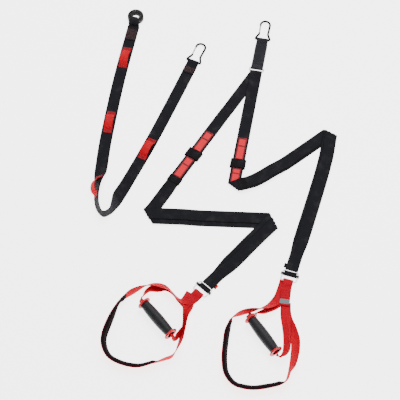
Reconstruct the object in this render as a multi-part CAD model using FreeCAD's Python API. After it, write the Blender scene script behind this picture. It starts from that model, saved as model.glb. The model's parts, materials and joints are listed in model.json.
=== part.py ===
"""Two-handled suspension trainer, laid out flat with its separate anchor strap.

The row frame has +Z up, the surface that the trainer lies on is Z = 0, +Y points
from the handles to the carabiners, and the origin is the centre of the laid-out
object on that surface. Every size is in millimetres.
"""
import FreeCAD, Part
import math
import os

Vector = FreeCAD.Vector
UP = Vector(0, 0, 1)

# Webbing
STRAP_WIDTH = 38.0
STRAP_THICKNESS = 2.0
BEND_INSET = 0.4
HANDLE_WEB_WIDTH = 30.0
HANDLE_WEB_THICKNESS = 2.0
LOOP_WEB_WIDTH = 26.0
LOOP_WEB_THICKNESS = 1.6

# Clearances
LAYER_GAP = 0.1
BAR_CLEARANCE = 0.3
SIDE_CLEARANCE = 0.5
STACK_CLEARANCE = 0.3
RUNNING_CLEARANCE = 0.05

# Carabiners
CARABINER_ROD = 6.5
CARABINER_LENGTH = 80.0
CARABINER_BASE_RADIUS = 3.6
CARABINER_BASE_ROOM = 5.5
CARABINER_EYE_INSET = 1.5
CARABINER_SIDE_TAPER = 10.5
CARABINER_NECK_AT = 22.0
CARABINER_NECK_RADIUS = 8.0
CARABINER_TOP_FLARE = 1.5
CARABINER_TOP_RADIUS = 15.0
GATE_ROD = 5.6
GATE_PIN_FROM_NECK = 6.0
GATE_SPAN = 25.0
GATE_END_GAP = 0.5
GATE_TONGUE = 2.4
GATE_PIN_RADIUS = 1.0
GATE_BORE_RADIUS = 1.3
GATE_BORE_DEPTH = 16.0
PLUNGER_LENGTH = 3.0
SPRING_RADIUS = 0.95
SPRING_WIRE = 0.4
SPRING_TURNS = 7

# Ring between the hanger strap and the two legs
RING_ROD = 5.0
RING_BAR_SPACING = 11.5
RING_CORNER_RADIUS = 7.0

# Hanger strap, from bar to bar
HANGER_LENGTH = 113.5

# Slide-bar buckles
FRAME_ROD = 4.5
FRAME_SIDE_ROOM = 1.75
FRAME_TOP_FROM_BAR = 12.0
FRAME_BASE_FROM_BAR = 21.0
FRAME_TOP_RADIUS = 5.0
FRAME_BASE_RADIUS = 8.0
SLIDE_BAR_ROD = 6.0
SLIDE_BAR_HEIGHT = 7.5
EAR_LENGTH = 7.0
EAR_WALL = 1.95

# Strap ends beside the buckles
TAIL_STOP_LENGTH = 14.0
TAIL_STOP_WIDTH = 6.0
TAIL_STOP_FROM_BAR = 30.0

# Keepers and marker patches on the legs
KEEPER_LENGTH = 32.0
KEEPER_WALL = 1.5
KEEPER_SIDE_ROOM = 3.0
TAIL_LOOP_LENGTH = 24.0
PATCH_WIDTH = 26.0
PATCH_LENGTH = 78.0
PATCH_THICKNESS = 1.0

# Sewn red length loops on the anchor strap
LENGTH_LOOP_END = 14.0
LENGTH_LOOP_SPAN = 50.0
LENGTH_LOOP_RISE = 13.0

# Door stop: a short thick tube that the strap end is sewn around
STOP_RADIUS = 25.5
STOP_BORE_RADIUS = 12.0
STOP_HEIGHT = 18.0
STOP_HOOP_WIDTH = 18.0

# Grips
GRIP_LENGTH = 118.0
GRIP_END_RADIUS = 13.5
GRIP_MIDDLE_RADIUS = 16.5
GRIP_TUBE_RADIUS = 12.2
GRIP_TUBE_BORE = 11.0
FLANGE_RADIUS = 20.5
FLANGE_THICKNESS = 5.0
FLANGE_EDGE = 1.8
FOLDED_WEB_WIDTH = 15.0

# Handle loops
LEFT_TAB_LENGTH = 62.0
RIGHT_TAB_LENGTH = 80.0
TAB_LAYERS = 4
TAB_TAPER = 16.0
PAD_THICKNESS = 8.0
PAD_HEIGHT = 27.0
LABEL_LENGTH = 15.0
LABEL_THICKNESS = 0.6

# Where the pieces lie, as drawn from the datum; CENTRE is the middle of the layout
CENTRE = (-4.2, 4.3)
RING_AT = (126.0, 426.0)
LEFT_LEG = [RING_AT, (-208.0, -95.0)]
LEFT_CROSS = [(-208.0, -95.0), (169.0, -111.0)]
LEFT_LOWER = [(169.0, -111.0), (-41.0, -337.0)]
RIGHT_LEG = [RING_AT, (49.0, 2.0)]
RIGHT_CROSS = [(49.0, 2.0), (112.0, 23.0), (350.0, 200.0)]
RIGHT_LOWER = [(350.0, 200.0), (330.0, 100.0), (210.0, -294.0)]
LEFT_MARKER_START = 270.0
RIGHT_MARKER_START = 252.0
LEFT_TAB_HEADING = -139.0
RIGHT_TAB_HEADING = -98.0
ANCHOR_DOWN = [(-263.0, 610.0), (-294.0, 457.0), (-311.0, 364.0), (-341.0, 173.0), (-349.0, 84.0)]
ANCHOR_TURN = [(-349.0, 88.0), (-353.0, 55.0), (-358.0, 10.0), (-361.0, -38.0), (-356.0, -74.0), (-338.0, -98.0),
               (-319.0, -83.0), (-302.0, -46.0)]
ANCHOR_BACK = [(-309.0, -59.0), (-275.0, 13.0), (-204.0, 160.0), (-135.0, 317.0), (-72.0, 464.0)]
LEFT_FOOT_LOOP = [(-113.0, -385.0), (-131.0, -361.0), (-172.0, -333.0), (-252.0, -348.0), (-283.0, -380.0),
                  (-314.0, -468.0), (-325.0, -527.0), (-303.0, -566.0), (-247.0, -585.0),
                  (-150.0, -562.0), (-108.0, -527.0), (-88.0, -462.0), (-96.0, -404.0)]
LEFT_HAND_UPPER = [(-113.0, -388.0), (-137.0, -366.0), (-172.0, -344.0), (-204.0, -347.0), (-219.0, -366.0)]
LEFT_HAND_LOWER = [(-101.0, -407.0), (-103.0, -440.0), (-105.0, -468.0)]
LEFT_GRIP = [(-213.0, -388.0), (-132.0, -490.0)]
RIGHT_FOOT_LOOP = [(172.0, -394.0), (126.0, -404.0), (63.0, -419.0), (30.0, -460.0), (12.0, -546.0),
                   (30.0, -619.0), (88.0, -652.0), (157.0, -640.0), (202.0, -600.0),
                   (222.0, -530.0), (219.0, -480.0), (203.0, -400.0)]
RIGHT_HAND_UPPER = [(180.0, -397.0), (146.0, -408.0), (109.0, -416.0)]
RIGHT_HAND_LOWER = [(197.0, -399.0), (199.0, -440.0), (204.0, -500.0), (197.0, -537.0), (176.0, -557.0)]
RIGHT_GRIP = [(93.0, -437.0), (163.0, -543.0)]
RIGHT_TAIL_LOOP_AT = 18.0
LEFT_PAD_SPAN = (0.27, 0.72)
RIGHT_PAD_SPAN = (0.21, 0.68)

# Levels that follow from the sizes above
LEG_LIFT = KEEPER_WALL + STACK_CLEARANCE + 0.4
DOUBLED = 2 * STRAP_THICKNESS + LAYER_GAP
TAB_THICKNESS = TAB_LAYERS * HANDLE_WEB_THICKNESS
RING_HEIGHT = LEG_LIFT + RING_ROD / 2 + BAR_CLEARANCE + STRAP_THICKNESS
CARABINER_BASE_HALF = STRAP_WIDTH / 2 + CARABINER_BASE_ROOM
CARABINER_NECK_HALF_WIDTH = CARABINER_BASE_HALF - CARABINER_SIDE_TAPER
CARABINER_TOP_HALF_WIDTH = CARABINER_NECK_HALF_WIDTH + CARABINER_TOP_FLARE
CARABINER_EYE_WIDTH = STRAP_WIDTH - 2 * CARABINER_EYE_INSET
CARABINER_HEIGHT = CARABINER_ROD / 2 + BAR_CLEARANCE + STRAP_THICKNESS + 0.2
RAIL_AT = STRAP_WIDTH / 2 + FRAME_SIDE_ROOM + FRAME_ROD / 2
GRIP_AXIS_HEIGHT = FLANGE_RADIUS + 0.2
RIGHT_FOLD_LEVEL = LEG_LIFT + DOUBLED + PATCH_THICKNESS + KEEPER_WALL + 2 * STACK_CLEARANCE
KEEPER_ROOM = DOUBLED + PATCH_THICKNESS + 2 * STACK_CLEARANCE


# Plane geometry
def heading_of(start, end):
    """Direction from one plan point to another, in degrees from +X."""
    return math.degrees(math.atan2(end[1] - start[1], end[0] - start[0]))


def along(start, heading, distance, aside=0.0):
    """Plan point a distance along a heading from start, and aside to its left."""
    angle = math.radians(heading)
    x = start[0] + distance * math.cos(angle) - aside * math.sin(angle)
    y = start[1] + distance * math.sin(angle) + aside * math.cos(angle)
    return (x, y)


def length_of(points):
    """Length of a line through plan points."""
    return sum(math.dist(a, b) for a, b in zip(points, points[1:]))


def smooth(points, steps=60):
    """Evenly spaced points on one smooth curve through the given plan points."""
    curve = Part.BSplineCurve()
    curve.interpolate([Vector(x, y, 0) for x, y in points])
    return [(p.x, p.y) for p in curve.discretize(steps)]


def strip_outline(points, thickness):
    """Outline of a strip of even thickness whose middle follows points."""
    left = []
    right = []
    for i, point in enumerate(points):
        before = heading_of(points[max(i - 1, 0)], points[max(i, 1)])
        after = heading_of(points[min(i, len(points) - 2)], points[min(i + 1, len(points) - 1)])
        turn = (after - before + 180) % 360 - 180
        reach = thickness / 2 / math.cos(math.radians(turn / 2))
        left.append(along(point, before + turn / 2, 0, reach))
        right.append(along(point, before + turn / 2, 0, -reach))
    return left + right[::-1]


# Solids from outlines
def plan_prism(outline, bottom, top):
    """Prism standing on a plan outline."""
    corners = [Vector(x, y, bottom) for x, y in outline]
    return Part.Face(Part.makePolygon(corners + corners[:1])).extrude(Vector(0, 0, top - bottom))


def side_prism(outline, width):
    """Prism of the given width whose side view is the outline, in X and Z."""
    corners = [Vector(x, -width / 2, z) for x, z in outline]
    return Part.Face(Part.makePolygon(corners + corners[:1])).extrude(Vector(0, width, 0))


def cross_rod(radius, length, x, z):
    """Rod across the strap direction."""
    return Part.makeCylinder(radius, length, Vector(x, -length / 2, z), Vector(0, 1, 0))


def joined(pieces):
    """One solid from overlapping pieces."""
    return pieces[0].multiFuse(pieces[1:]).removeSplitter()


def placed(shape, point, heading, height=0.0):
    """Copy of a shape turned to a heading and moved to a plan point."""
    copy = shape.copy()
    copy.rotate(Vector(0, 0, 0), UP, heading)
    copy.translate(Vector(point[0], point[1], height))
    return copy


def rounded_path(corners, radii, closed):
    """Edges through plan corners, with each corner rounded."""
    count = len(corners)
    edges = []
    last = Vector(corners[0][0], corners[0][1], 0)
    first = None
    for i in range(count if closed else count - 1):
        here = corners[(i + 1) % count]
        if not closed and i == count - 2:
            edges.append(Part.makeLine(last, Vector(here[0], here[1], 0)))
            break
        before = heading_of(corners[i], here)
        after = heading_of(here, corners[(i + 2) % count])
        turn = (after - before + 180) % 360 - 180
        radius = radii[(i + 1) % count]
        reach = radius * math.tan(math.radians(abs(turn) / 2))
        inset = radius / math.cos(math.radians(turn / 2)) - radius
        enter = Vector(*along(here, before, -reach), 0)
        leave = Vector(*along(here, after, reach), 0)
        side = math.copysign(inset, turn)
        middle = Vector(*along(here, before + turn / 2, 0, side), 0)
        if closed and i == 0:
            first = enter
        else:
            edges.append(Part.makeLine(last, enter))
        edges.append(Part.Arc(enter, middle, leave).toShape())
        last = leave
    if closed:
        edges.append(Part.makeLine(last, first))
    return edges


def bent_rod(edges, radius):
    """Round rod along a flat path of lines and arcs."""
    start = edges[0].Vertexes[0].Point
    tangent = edges[0].tangentAt(edges[0].FirstParameter)
    profile = Part.Wire(Part.makeCircle(radius, start, tangent))
    return Part.Wire(edges).makePipeShell([profile], True, False)


# Webbing
def level_at(levels, distance):
    """Bottom and top of a strap at a distance along it."""
    for (a, low_a, high_a), (b, low_b, high_b) in zip(levels, levels[1:]):
        if distance <= b:
            share = (distance - a) / (b - a)
            return (low_a + share * (low_b - low_a), high_a + share * (high_b - high_a))
    return levels[-1][1:]


def strap(points, levels, width):
    """Flat strap along plan points. Each level is a distance, a bottom and a top."""
    pieces = []
    passed = 0.0
    for start, end in zip(points, points[1:]):
        long = math.dist(start, end)
        inner = [row for row in levels if passed < row[0] < passed + long]
        rows = [(passed, *level_at(levels, passed)), *inner, (passed + long, *level_at(levels, passed + long))]
        top = [(s - passed, high) for s, low, high in rows]
        bottom = [(s - passed, low) for s, low, high in rows]
        pieces.append(placed(side_prism(top + bottom[::-1], width), start, heading_of(start, end)))
        passed += long
        if end != points[-1]:
            low, high = level_at(levels, passed)
            pieces.append(Part.makeCylinder(width / 2 - BEND_INSET, high - low, Vector(end[0], end[1], low)))
    return joined(pieces)


def extended(points, before, after):
    """Plan points with the first and the last run made longer."""
    first = along(points[0], heading_of(points[0], points[1]), -before)
    last = along(points[-1], heading_of(points[-2], points[-1]), after)
    return [first, *points[1:-1], last]


def crease_heading(arriving, leaving):
    """Direction of the crease that turns a flat strap from one heading to another."""
    a = math.radians(arriving)
    b = math.radians(leaving)
    return math.degrees(math.atan2(math.sin(a) + math.sin(b), math.cos(a) + math.cos(b)))


def trimmed(shape, corner, arriving, leaving):
    """The part of a strap on the near side of the crease at a corner."""
    crease = crease_heading(arriving, leaving)
    side = math.sin(math.radians(arriving + 180 - crease))
    reach = 900.0
    keep = Part.makeBox(2 * reach, reach, 80, Vector(-reach, 0 if side > 0 else -reach, -20))
    return shape.common(placed(keep, corner, crease))


def crease_wall(corner, arriving, leaving, bottom, top):
    """The rolled edge of a crease, from the lower run to the upper one."""
    crease = crease_heading(arriving, leaving)
    side = math.sin(math.radians(arriving + 180 - crease))
    long = STRAP_WIDTH / abs(side) - 2 * STRAP_THICKNESS
    start = 0 if side > 0 else -STRAP_THICKNESS
    wall = Part.makeBox(long, STRAP_THICKNESS, top - bottom, Vector(-long / 2, start, bottom))
    return placed(wall, corner, crease)


def fence(points, thickness, bottom, height):
    """Webbing that stands on its edge along a smooth plan line."""
    return plan_prism(strip_outline(smooth(points), thickness), bottom, bottom + height)


def eye(rod, height, taper, bottom, top, width, wrap=STRAP_THICKNESS):
    """Sewn end around a bar at the origin, which narrows into the strap along +X."""
    outer = rod / 2 + BAR_CLEARANCE + wrap
    wedge = side_prism([(0, height + outer), (taper, top), (taper, bottom), (0, height - outer)], width)
    return joined([cross_rod(outer, width, 0, height), wedge]).cut(
        cross_rod(rod / 2 + BAR_CLEARANCE, width + 2, 0, height))


def bar_wrap(before):
    """Doubled strap end that goes over the slide bar at the origin and back under it."""
    middle = SLIDE_BAR_ROD / 2 + BAR_CLEARANCE + STRAP_THICKNESS / 2
    upper = STRAP_THICKNESS * 1.5 + LAYER_GAP
    lower = STRAP_THICKNESS * 0.5
    gap = FRAME_TOP_FROM_BAR - 3.0
    path = [(-before, upper), (-gap, upper)]
    for degrees in range(150, -91, -20):
        angle = math.radians(degrees)
        path.append((middle * math.cos(angle), SLIDE_BAR_HEIGHT + middle * math.sin(angle)))
    path += [(2.0 - gap, lower), (-before, lower)]
    return side_prism(strip_outline(path, STRAP_THICKNESS), STRAP_WIDTH)


def tail_stop(lower, side):
    """Folded and sewn strap end that shows beside the strap above the buckle."""
    heading = heading_of(*lower[-2:])
    edge = STRAP_WIDTH / 2 + STACK_CLEARANCE
    near = edge if side > 0 else -edge - TAIL_STOP_WIDTH
    nub = Part.makeBox(TAIL_STOP_LENGTH, TAIL_STOP_WIDTH, DOUBLED,
                       Vector(-TAIL_STOP_FROM_BAR - TAIL_STOP_LENGTH / 2, near, 0))
    return placed(nub, lower[-1], heading)


def band(length, room, low, high, wall, x):
    """Flat band around a strap, at x along it."""
    outer = Part.makeBox(length, room + 2 * wall, high - low + 2 * wall,
                         Vector(x, -room / 2 - wall, low - wall))
    inner = Part.makeBox(length + 2, room, high - low, Vector(x - 1, -room / 2, low))
    return outer.cut(inner)


# Legs
def leg(run, cross, lower, levels, first_end):
    """One leg: from the ring, over two folds, to the slide bar and back underneath."""
    run_heading = heading_of(*run[-2:])
    cross_start = heading_of(*cross[:2])
    cross_end = heading_of(*cross[-2:])
    lower_start = heading_of(*lower[:2])
    lower_end = heading_of(*lower[-2:])
    fold = STRAP_WIDTH * 1.5
    run_levels, cross_levels, lower_levels = levels
    upper = strap(extended(run, 0, fold), run_levels, STRAP_WIDTH)
    upper = trimmed(upper, run[-1], run_heading, cross_start)
    middle = strap(extended(cross, fold, fold), cross_levels, STRAP_WIDTH)
    middle = trimmed(middle, cross[0], cross_start + 180, run_heading + 180)
    middle = trimmed(middle, cross[-1], cross_end, lower_start)
    last = strap(extended(lower, fold, 4 - FRAME_TOP_FROM_BAR * 2), lower_levels, STRAP_WIDTH)
    last = trimmed(last, lower[0], lower_start + 180, cross_end + 180)
    end = placed(bar_wrap(40.0), lower[-1], lower_end)
    first_wall = crease_wall(run[-1], run_heading, cross_start, run_levels[-1][1], cross_levels[0][2])
    second_wall = crease_wall(cross[-1], cross_end, lower_start, cross_levels[-1][1], lower_levels[0][2])
    return joined([upper, middle, last, end, first_wall, second_wall] + first_end)


def fold_levels(long, over, before, after):
    """Levels of a doubled run that starts on top of a fold and ends under the next."""
    return [(0, over, over + DOUBLED), (before, over, over + DOUBLED),
            (before + 45, 0, DOUBLED), (long + after, 0, DOUBLED)]


def left_leg():
    """Left leg, with its tail folded back underneath as far as the keeper."""
    tail = LEFT_MARKER_START + PATCH_LENGTH
    flat = length_of(LEFT_LEG)
    marks_end = tail + KEEPER_LENGTH + PATCH_LENGTH + TAIL_LOOP_LENGTH
    lift = LEG_LIFT
    run = [(0, 0, STRAP_THICKNESS), (150, 0, STRAP_THICKNESS), (200, lift, lift + STRAP_THICKNESS),
           (tail, lift, lift + STRAP_THICKNESS), (tail + 20, lift, lift + DOUBLED),
           (marks_end + 6, lift, lift + DOUBLED), (marks_end + 46, 0, DOUBLED), (flat + 60, 0, DOUBLED)]
    over = DOUBLED + STACK_CLEARANCE
    cross = fold_levels(length_of(LEFT_CROSS), over, STRAP_WIDTH * 3, STRAP_WIDTH * 3)
    lower = fold_levels(length_of(LEFT_LOWER), over, STRAP_WIDTH * 3, 0)
    return leg(LEFT_LEG, LEFT_CROSS, LEFT_LOWER, (run, cross, lower), [])


def right_leg():
    """Right leg, whose upper end is sewn around the ring's lower bar."""
    tail = RIGHT_MARKER_START + PATCH_LENGTH
    flat = length_of(RIGHT_LEG)
    lift = LEG_LIFT
    run = [(0, lift, lift + STRAP_THICKNESS), (tail, lift, lift + STRAP_THICKNESS),
           (tail + 20, lift, lift + DOUBLED), (flat + 60, lift, lift + DOUBLED)]
    over = RIGHT_FOLD_LEVEL
    cross = fold_levels(length_of(RIGHT_CROSS), over, STRAP_WIDTH * 3.6, STRAP_WIDTH * 3)
    lower = fold_levels(length_of(RIGHT_LOWER), DOUBLED + STACK_CLEARANCE, STRAP_WIDTH * 3, 0)
    heading = heading_of(*RIGHT_LEG)
    eye_end = eye(RING_ROD, RING_HEIGHT, 30.0, lift, lift + STRAP_THICKNESS, STRAP_WIDTH)
    run[0] = (28.0, lift, lift + STRAP_THICKNESS)
    start = along(RIGHT_LEG[0], heading, 28.0)
    run = [(s - 28.0, low, high) for s, low, high in run]
    eye_end = placed(eye_end, RIGHT_LEG[0], heading)
    return leg([start, RIGHT_LEG[1]], RIGHT_CROSS, RIGHT_LOWER, (run, cross, lower), [eye_end])


def marker_patch(line, start, long, level):
    """Flat red marker patch sewn on a leg."""
    patch = Part.makeBox(long, PATCH_WIDTH, PATCH_THICKNESS, Vector(start, -PATCH_WIDTH / 2, level))
    return placed(patch, line[0], heading_of(*line))


def keeper(line, start):
    """Keeper band that slides over the leg, its tail and the marker patches."""
    low = LEG_LIFT - STACK_CLEARANCE
    room = STRAP_WIDTH + 2 * KEEPER_SIDE_ROOM
    shape = band(KEEPER_LENGTH, room, low, low + KEEPER_ROOM, KEEPER_WALL, start)
    return placed(shape, line[0], heading_of(*line))


def tail_loop(line, start, bottom):
    """Sewn band that holds the folded-back tail to the leg."""
    room = STRAP_WIDTH + 2 * SIDE_CLEARANCE
    shape = band(TAIL_LOOP_LENGTH, room, bottom - 0.1, bottom + DOUBLED + 0.1, KEEPER_WALL, start)
    return placed(shape, line[0], heading_of(line[0], line[1]))


# Hardware
def neck_line():
    """Left neck of the carabiner and the heading of the side that the gate closes."""
    neck = (-CARABINER_NECK_HALF_WIDTH, CARABINER_NECK_AT)
    upper = (-CARABINER_TOP_HALF_WIDTH, CARABINER_LENGTH - CARABINER_ROD)
    return (neck, upper, heading_of(neck, upper))


def carabiner_body():
    """Round-rod body with a wide base bar, open on its left, with a tongue for the gate."""
    neck, upper, side = neck_line()
    hinge_end = GATE_PIN_FROM_NECK - GATE_ROD / 2 - GATE_END_GAP
    nose = along(neck, side, GATE_PIN_FROM_NECK + GATE_SPAN)
    corners = [nose, upper, (-upper[0], upper[1]), (-neck[0], neck[1]), (CARABINER_BASE_HALF, 0.0),
               (-CARABINER_BASE_HALF, 0.0), neck, along(neck, side, hinge_end)]
    radii = [0, CARABINER_TOP_RADIUS, CARABINER_TOP_RADIUS, CARABINER_NECK_RADIUS,
             CARABINER_BASE_RADIUS, CARABINER_BASE_RADIUS, CARABINER_NECK_RADIUS, 0]
    rod = bent_rod(rounded_path(corners, radii, False), CARABINER_ROD / 2)
    tongue_length = GATE_PIN_FROM_NECK - hinge_end + 1.0
    tongue = Part.makeBox(tongue_length, GATE_ROD, GATE_TONGUE,
                          Vector(hinge_end - 1.0, -GATE_ROD / 2, -GATE_TONGUE / 2))
    tongue = placed(tongue, neck, side)
    pin_at = Vector(*along(neck, side, GATE_PIN_FROM_NECK), -GATE_TONGUE / 2)
    knuckle = Part.makeCylinder(GATE_ROD / 2, GATE_TONGUE, pin_at)
    hole = Part.makeCylinder(GATE_PIN_RADIUS, GATE_ROD, pin_at - Vector(0, 0, 1))
    return joined([rod, tongue, knuckle]).cut(hole)


def gate():
    """Hollow gate rod with a fork over the tongue."""
    neck, upper, side = neck_line()
    long = GATE_SPAN - GATE_END_GAP
    radius = GATE_ROD / 2
    rod = Part.makeCylinder(radius, long, Vector(0, 0, 0), Vector(1, 0, 0))
    cheek = radius - 0.15
    knuckle = Part.makeCylinder(cheek, 2 * cheek, Vector(0, 0, -cheek))
    slot_room = GATE_TONGUE / 2 + 0.2
    slot = Part.makeBox(2 * radius + 0.6, GATE_ROD + 2, 2 * slot_room,
                        Vector(-radius - 0.3, -radius - 1, -slot_room))
    hole = Part.makeCylinder(GATE_PIN_RADIUS + RUNNING_CLEARANCE, GATE_ROD + 2, Vector(0, 0, -radius - 1))
    bore = Part.makeCylinder(GATE_BORE_RADIUS, GATE_BORE_DEPTH - radius, Vector(radius, 0, 0), Vector(1, 0, 0))
    shape = joined([rod, knuckle]).cut(slot).cut(hole).cut(bore)
    return placed(shape, along(neck, side, GATE_PIN_FROM_NECK), side)


def gate_pin():
    """Rivet that the gate turns on."""
    neck, upper, side = neck_line()
    at = along(neck, side, GATE_PIN_FROM_NECK)
    return Part.makeCylinder(GATE_PIN_RADIUS, GATE_ROD - 0.4, Vector(at[0], at[1], 0.2 - GATE_ROD / 2))


def gate_plunger():
    """Plunger in the gate that the spring presses on the tongue."""
    neck, upper, side = neck_line()
    rod = Part.makeCylinder(GATE_BORE_RADIUS - RUNNING_CLEARANCE, PLUNGER_LENGTH,
                            Vector(GATE_ROD / 2 + RUNNING_CLEARANCE, 0, 0), Vector(1, 0, 0))
    return placed(rod, along(neck, side, GATE_PIN_FROM_NECK), side)


def gate_spring():
    """Coil spring behind the plunger, in the gate's bore."""
    neck, upper, side = neck_line()
    start = GATE_ROD / 2 + RUNNING_CLEARANCE + PLUNGER_LENGTH + SPRING_WIRE / 2 + 0.05
    long = GATE_BORE_DEPTH - start - SPRING_WIRE / 2 - 0.05
    helix = Part.makeHelix(long / SPRING_TURNS, long, SPRING_RADIUS)
    profile = Part.Wire(Part.makeCircle(SPRING_WIRE / 2, Vector(SPRING_RADIUS, 0, 0), Vector(0, 1, 0)))
    coil = Part.Wire(helix).makePipeShell([profile], True, True)
    coil.rotate(Vector(0, 0, 0), Vector(0, 1, 0), 90)
    coil.translate(Vector(start, 0, 0))
    return placed(coil, along(neck, side, GATE_PIN_FROM_NECK), side)


def carabiner_pieces(prefix, point, heading):
    """All pieces of one carabiner, whose base bar is centred on a plan point."""
    makers = {"carabiner": carabiner_body, "gate": gate, "gate_pin": gate_pin,
              "gate_plunger": gate_plunger, "gate_spring": gate_spring}
    return {f"{prefix}_{name}": placed(make(), point, heading - 90, CARABINER_HEIGHT)
            for name, make in makers.items()}


def ring():
    """Rectangular rod ring. Its lower bar is at the origin."""
    half = STRAP_WIDTH / 2 + SIDE_CLEARANCE + RING_ROD / 2
    corners = [(0, -half), (RING_BAR_SPACING, -half), (RING_BAR_SPACING, half), (0, half)]
    return bent_rod(rounded_path(corners, [RING_CORNER_RADIUS - 3.0] * 4, True), RING_ROD / 2)


def buckle_frame():
    """Rod frame of a slide-bar buckle, with the slide bar's axis at the origin."""
    corners = [(-FRAME_TOP_FROM_BAR, -RAIL_AT), (FRAME_BASE_FROM_BAR, -RAIL_AT),
               (FRAME_BASE_FROM_BAR, RAIL_AT), (-FRAME_TOP_FROM_BAR, RAIL_AT)]
    radii = [FRAME_TOP_RADIUS, FRAME_BASE_RADIUS, FRAME_BASE_RADIUS, FRAME_TOP_RADIUS]
    return bent_rod(rounded_path(corners, radii, True), FRAME_ROD / 2)


def slide_bar():
    """Bar that the strap turns around, with an ear on each rail of the frame."""
    inner = STRAP_WIDTH / 2 + SIDE_CLEARANCE
    outer = RAIL_AT + FRAME_ROD / 2 + EAR_WALL
    pieces = [cross_rod(SLIDE_BAR_ROD / 2, 2 * inner + 1, 0, 0)]
    for side in (-1, 1):
        ear = Part.makeBox(EAR_LENGTH, outer - inner, SLIDE_BAR_ROD + 1.2,
                           Vector(-EAR_LENGTH / 2, inner if side > 0 else -outer, -SLIDE_BAR_ROD / 2 - 0.6))
        pieces.append(ear)
    shape = joined(pieces)
    for side in (-1, 1):
        shape = shape.cut(Part.makeCylinder(FRAME_ROD / 2 + RUNNING_CLEARANCE, EAR_LENGTH + 2,
                                            Vector(-EAR_LENGTH / 2 - 1, side * RAIL_AT, 0), Vector(1, 0, 0)))
    return shape


def hanger():
    """Short doubled strap with a sewn eye at each end, from the ring's upper bar."""
    base = 0.2
    low_eye = eye(RING_ROD, RING_HEIGHT, 22.0, base, base + DOUBLED, STRAP_WIDTH)
    high_eye = eye(CARABINER_ROD, CARABINER_HEIGHT, 22.0, base, base + DOUBLED, CARABINER_EYE_WIDTH)
    high_eye = placed(high_eye, (HANGER_LENGTH, 0), 180)
    middle = Part.makeBox(HANGER_LENGTH - 44, STRAP_WIDTH, DOUBLED, Vector(22.0, -STRAP_WIDTH / 2, base))
    return joined([low_eye, middle, high_eye])


# Anchor strap
def anchor_webbing():
    """Single strap: sewn around the door stop, flat, on its edge at the turn, and back."""
    down = smooth(ANCHOR_DOWN, 12)
    back = smooth(ANCHOR_BACK, 12)
    heading = heading_of(*ANCHOR_DOWN[:2])
    half = STOP_HOOP_WIDTH / 2
    sag = STOP_BORE_RADIUS - math.sqrt(STOP_BORE_RADIUS ** 2 - half ** 2)
    room = STOP_RADIUS - STOP_BORE_RADIUS + sag + 2 * STACK_CLEARANCE
    top = STOP_HEIGHT + 2 * STRAP_THICKNESS + 2 * STACK_CLEARANCE
    hoop = Part.makeBox(room + 2 * STRAP_THICKNESS, 2 * half, top, Vector(-STRAP_THICKNESS, -half, 0))
    hole = Part.makeBox(room, 2 * half + 2, top - 2 * STRAP_THICKNESS, Vector(0, -half - 1, STRAP_THICKNESS))
    loop = placed(hoop.cut(hole), along(down[0], heading, -room), heading)
    sewn = Part.makeBox(62.0, STRAP_WIDTH - 2.0, STRAP_THICKNESS, Vector(0, 1.0 - STRAP_WIDTH / 2, STRAP_THICKNESS))
    sewn = placed(sewn, down[0], heading)
    turn = fence(ANCHOR_TURN, STRAP_THICKNESS, 0, STRAP_WIDTH)
    end_heading = heading_of(*ANCHOR_BACK[-2:])
    eye_end = eye(CARABINER_ROD, CARABINER_HEIGHT, 24.0, 0, STRAP_THICKNESS, CARABINER_EYE_WIDTH)
    eye_end = placed(eye_end, ANCHOR_BACK[-1], end_heading + 180)
    back[-1] = along(ANCHOR_BACK[-1], end_heading, -22.0)
    flats = [plan_prism(strip_outline(line, STRAP_WIDTH), 0, STRAP_THICKNESS) for line in (down, back)]
    return joined([*flats, turn, loop, sewn, eye_end])


def door_stop():
    """Short thick tube, standing on the strap end that is sewn around its wall."""
    heading = heading_of(*ANCHOR_DOWN[:2])
    centre = along(ANCHOR_DOWN[0], heading, -STOP_RADIUS - STACK_CLEARANCE)
    bottom = STRAP_THICKNESS + STACK_CLEARANCE
    at = Vector(centre[0], centre[1], bottom)
    tube = Part.makeCylinder(STOP_RADIUS, STOP_HEIGHT, at)
    tube = tube.cut(Part.makeCylinder(STOP_BORE_RADIUS, STOP_HEIGHT, at))
    return tube.makeFillet(1.5, tube.Edges[:1])


def arch():
    """Side line of a sewn loop: two flat ends and a round arch between them."""
    half = LENGTH_LOOP_SPAN / 2
    end = half + LENGTH_LOOP_END
    low = LOOP_WEB_THICKNESS / 2
    crown = [(half * math.cos(math.radians(a)), low + LENGTH_LOOP_RISE * math.sin(math.radians(a)) ** 1.4)
             for a in range(165, 14, -15)]
    return [(-end, low), (-half, low), *crown, (half, low), (end, low)]


def length_loop(point, heading, level):
    """Red loop sewn on the anchor strap, which a carabiner can be clipped in."""
    return placed(side_prism(strip_outline(arch(), LOOP_WEB_THICKNESS), LOOP_WEB_WIDTH), point, heading, level)


def standing_length_loop(point, heading):
    """The same loop where the strap stands on its edge."""
    shape = side_prism(strip_outline(arch(), LOOP_WEB_THICKNESS), LOOP_WEB_WIDTH)
    shape.rotate(Vector(0, 0, 0), Vector(1, 0, 0), 90)
    return placed(shape, point, heading, STRAP_WIDTH / 2)


# Handles
def tab(bend, long):
    """Stitched tab around the frame's base bar, which is at the origin."""
    bottom = 0.2
    top = bottom + TAB_THICKNESS
    wrap = 2 * HANDLE_WEB_THICKNESS
    outer = eye(FRAME_ROD, SLIDE_BAR_HEIGHT, TAB_TAPER, bottom, top, HANDLE_WEB_WIDTH, wrap)
    lap = HANDLE_WEB_WIDTH / 2 * math.sin(math.radians(abs(bend))) + 0.5
    block = Part.makeBox(long - TAB_TAPER + lap, HANDLE_WEB_WIDTH, TAB_THICKNESS,
                         Vector(-lap, -HANDLE_WEB_WIDTH / 2, bottom))
    return joined([outer, placed(block, (TAB_TAPER, 0), bend)])


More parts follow.
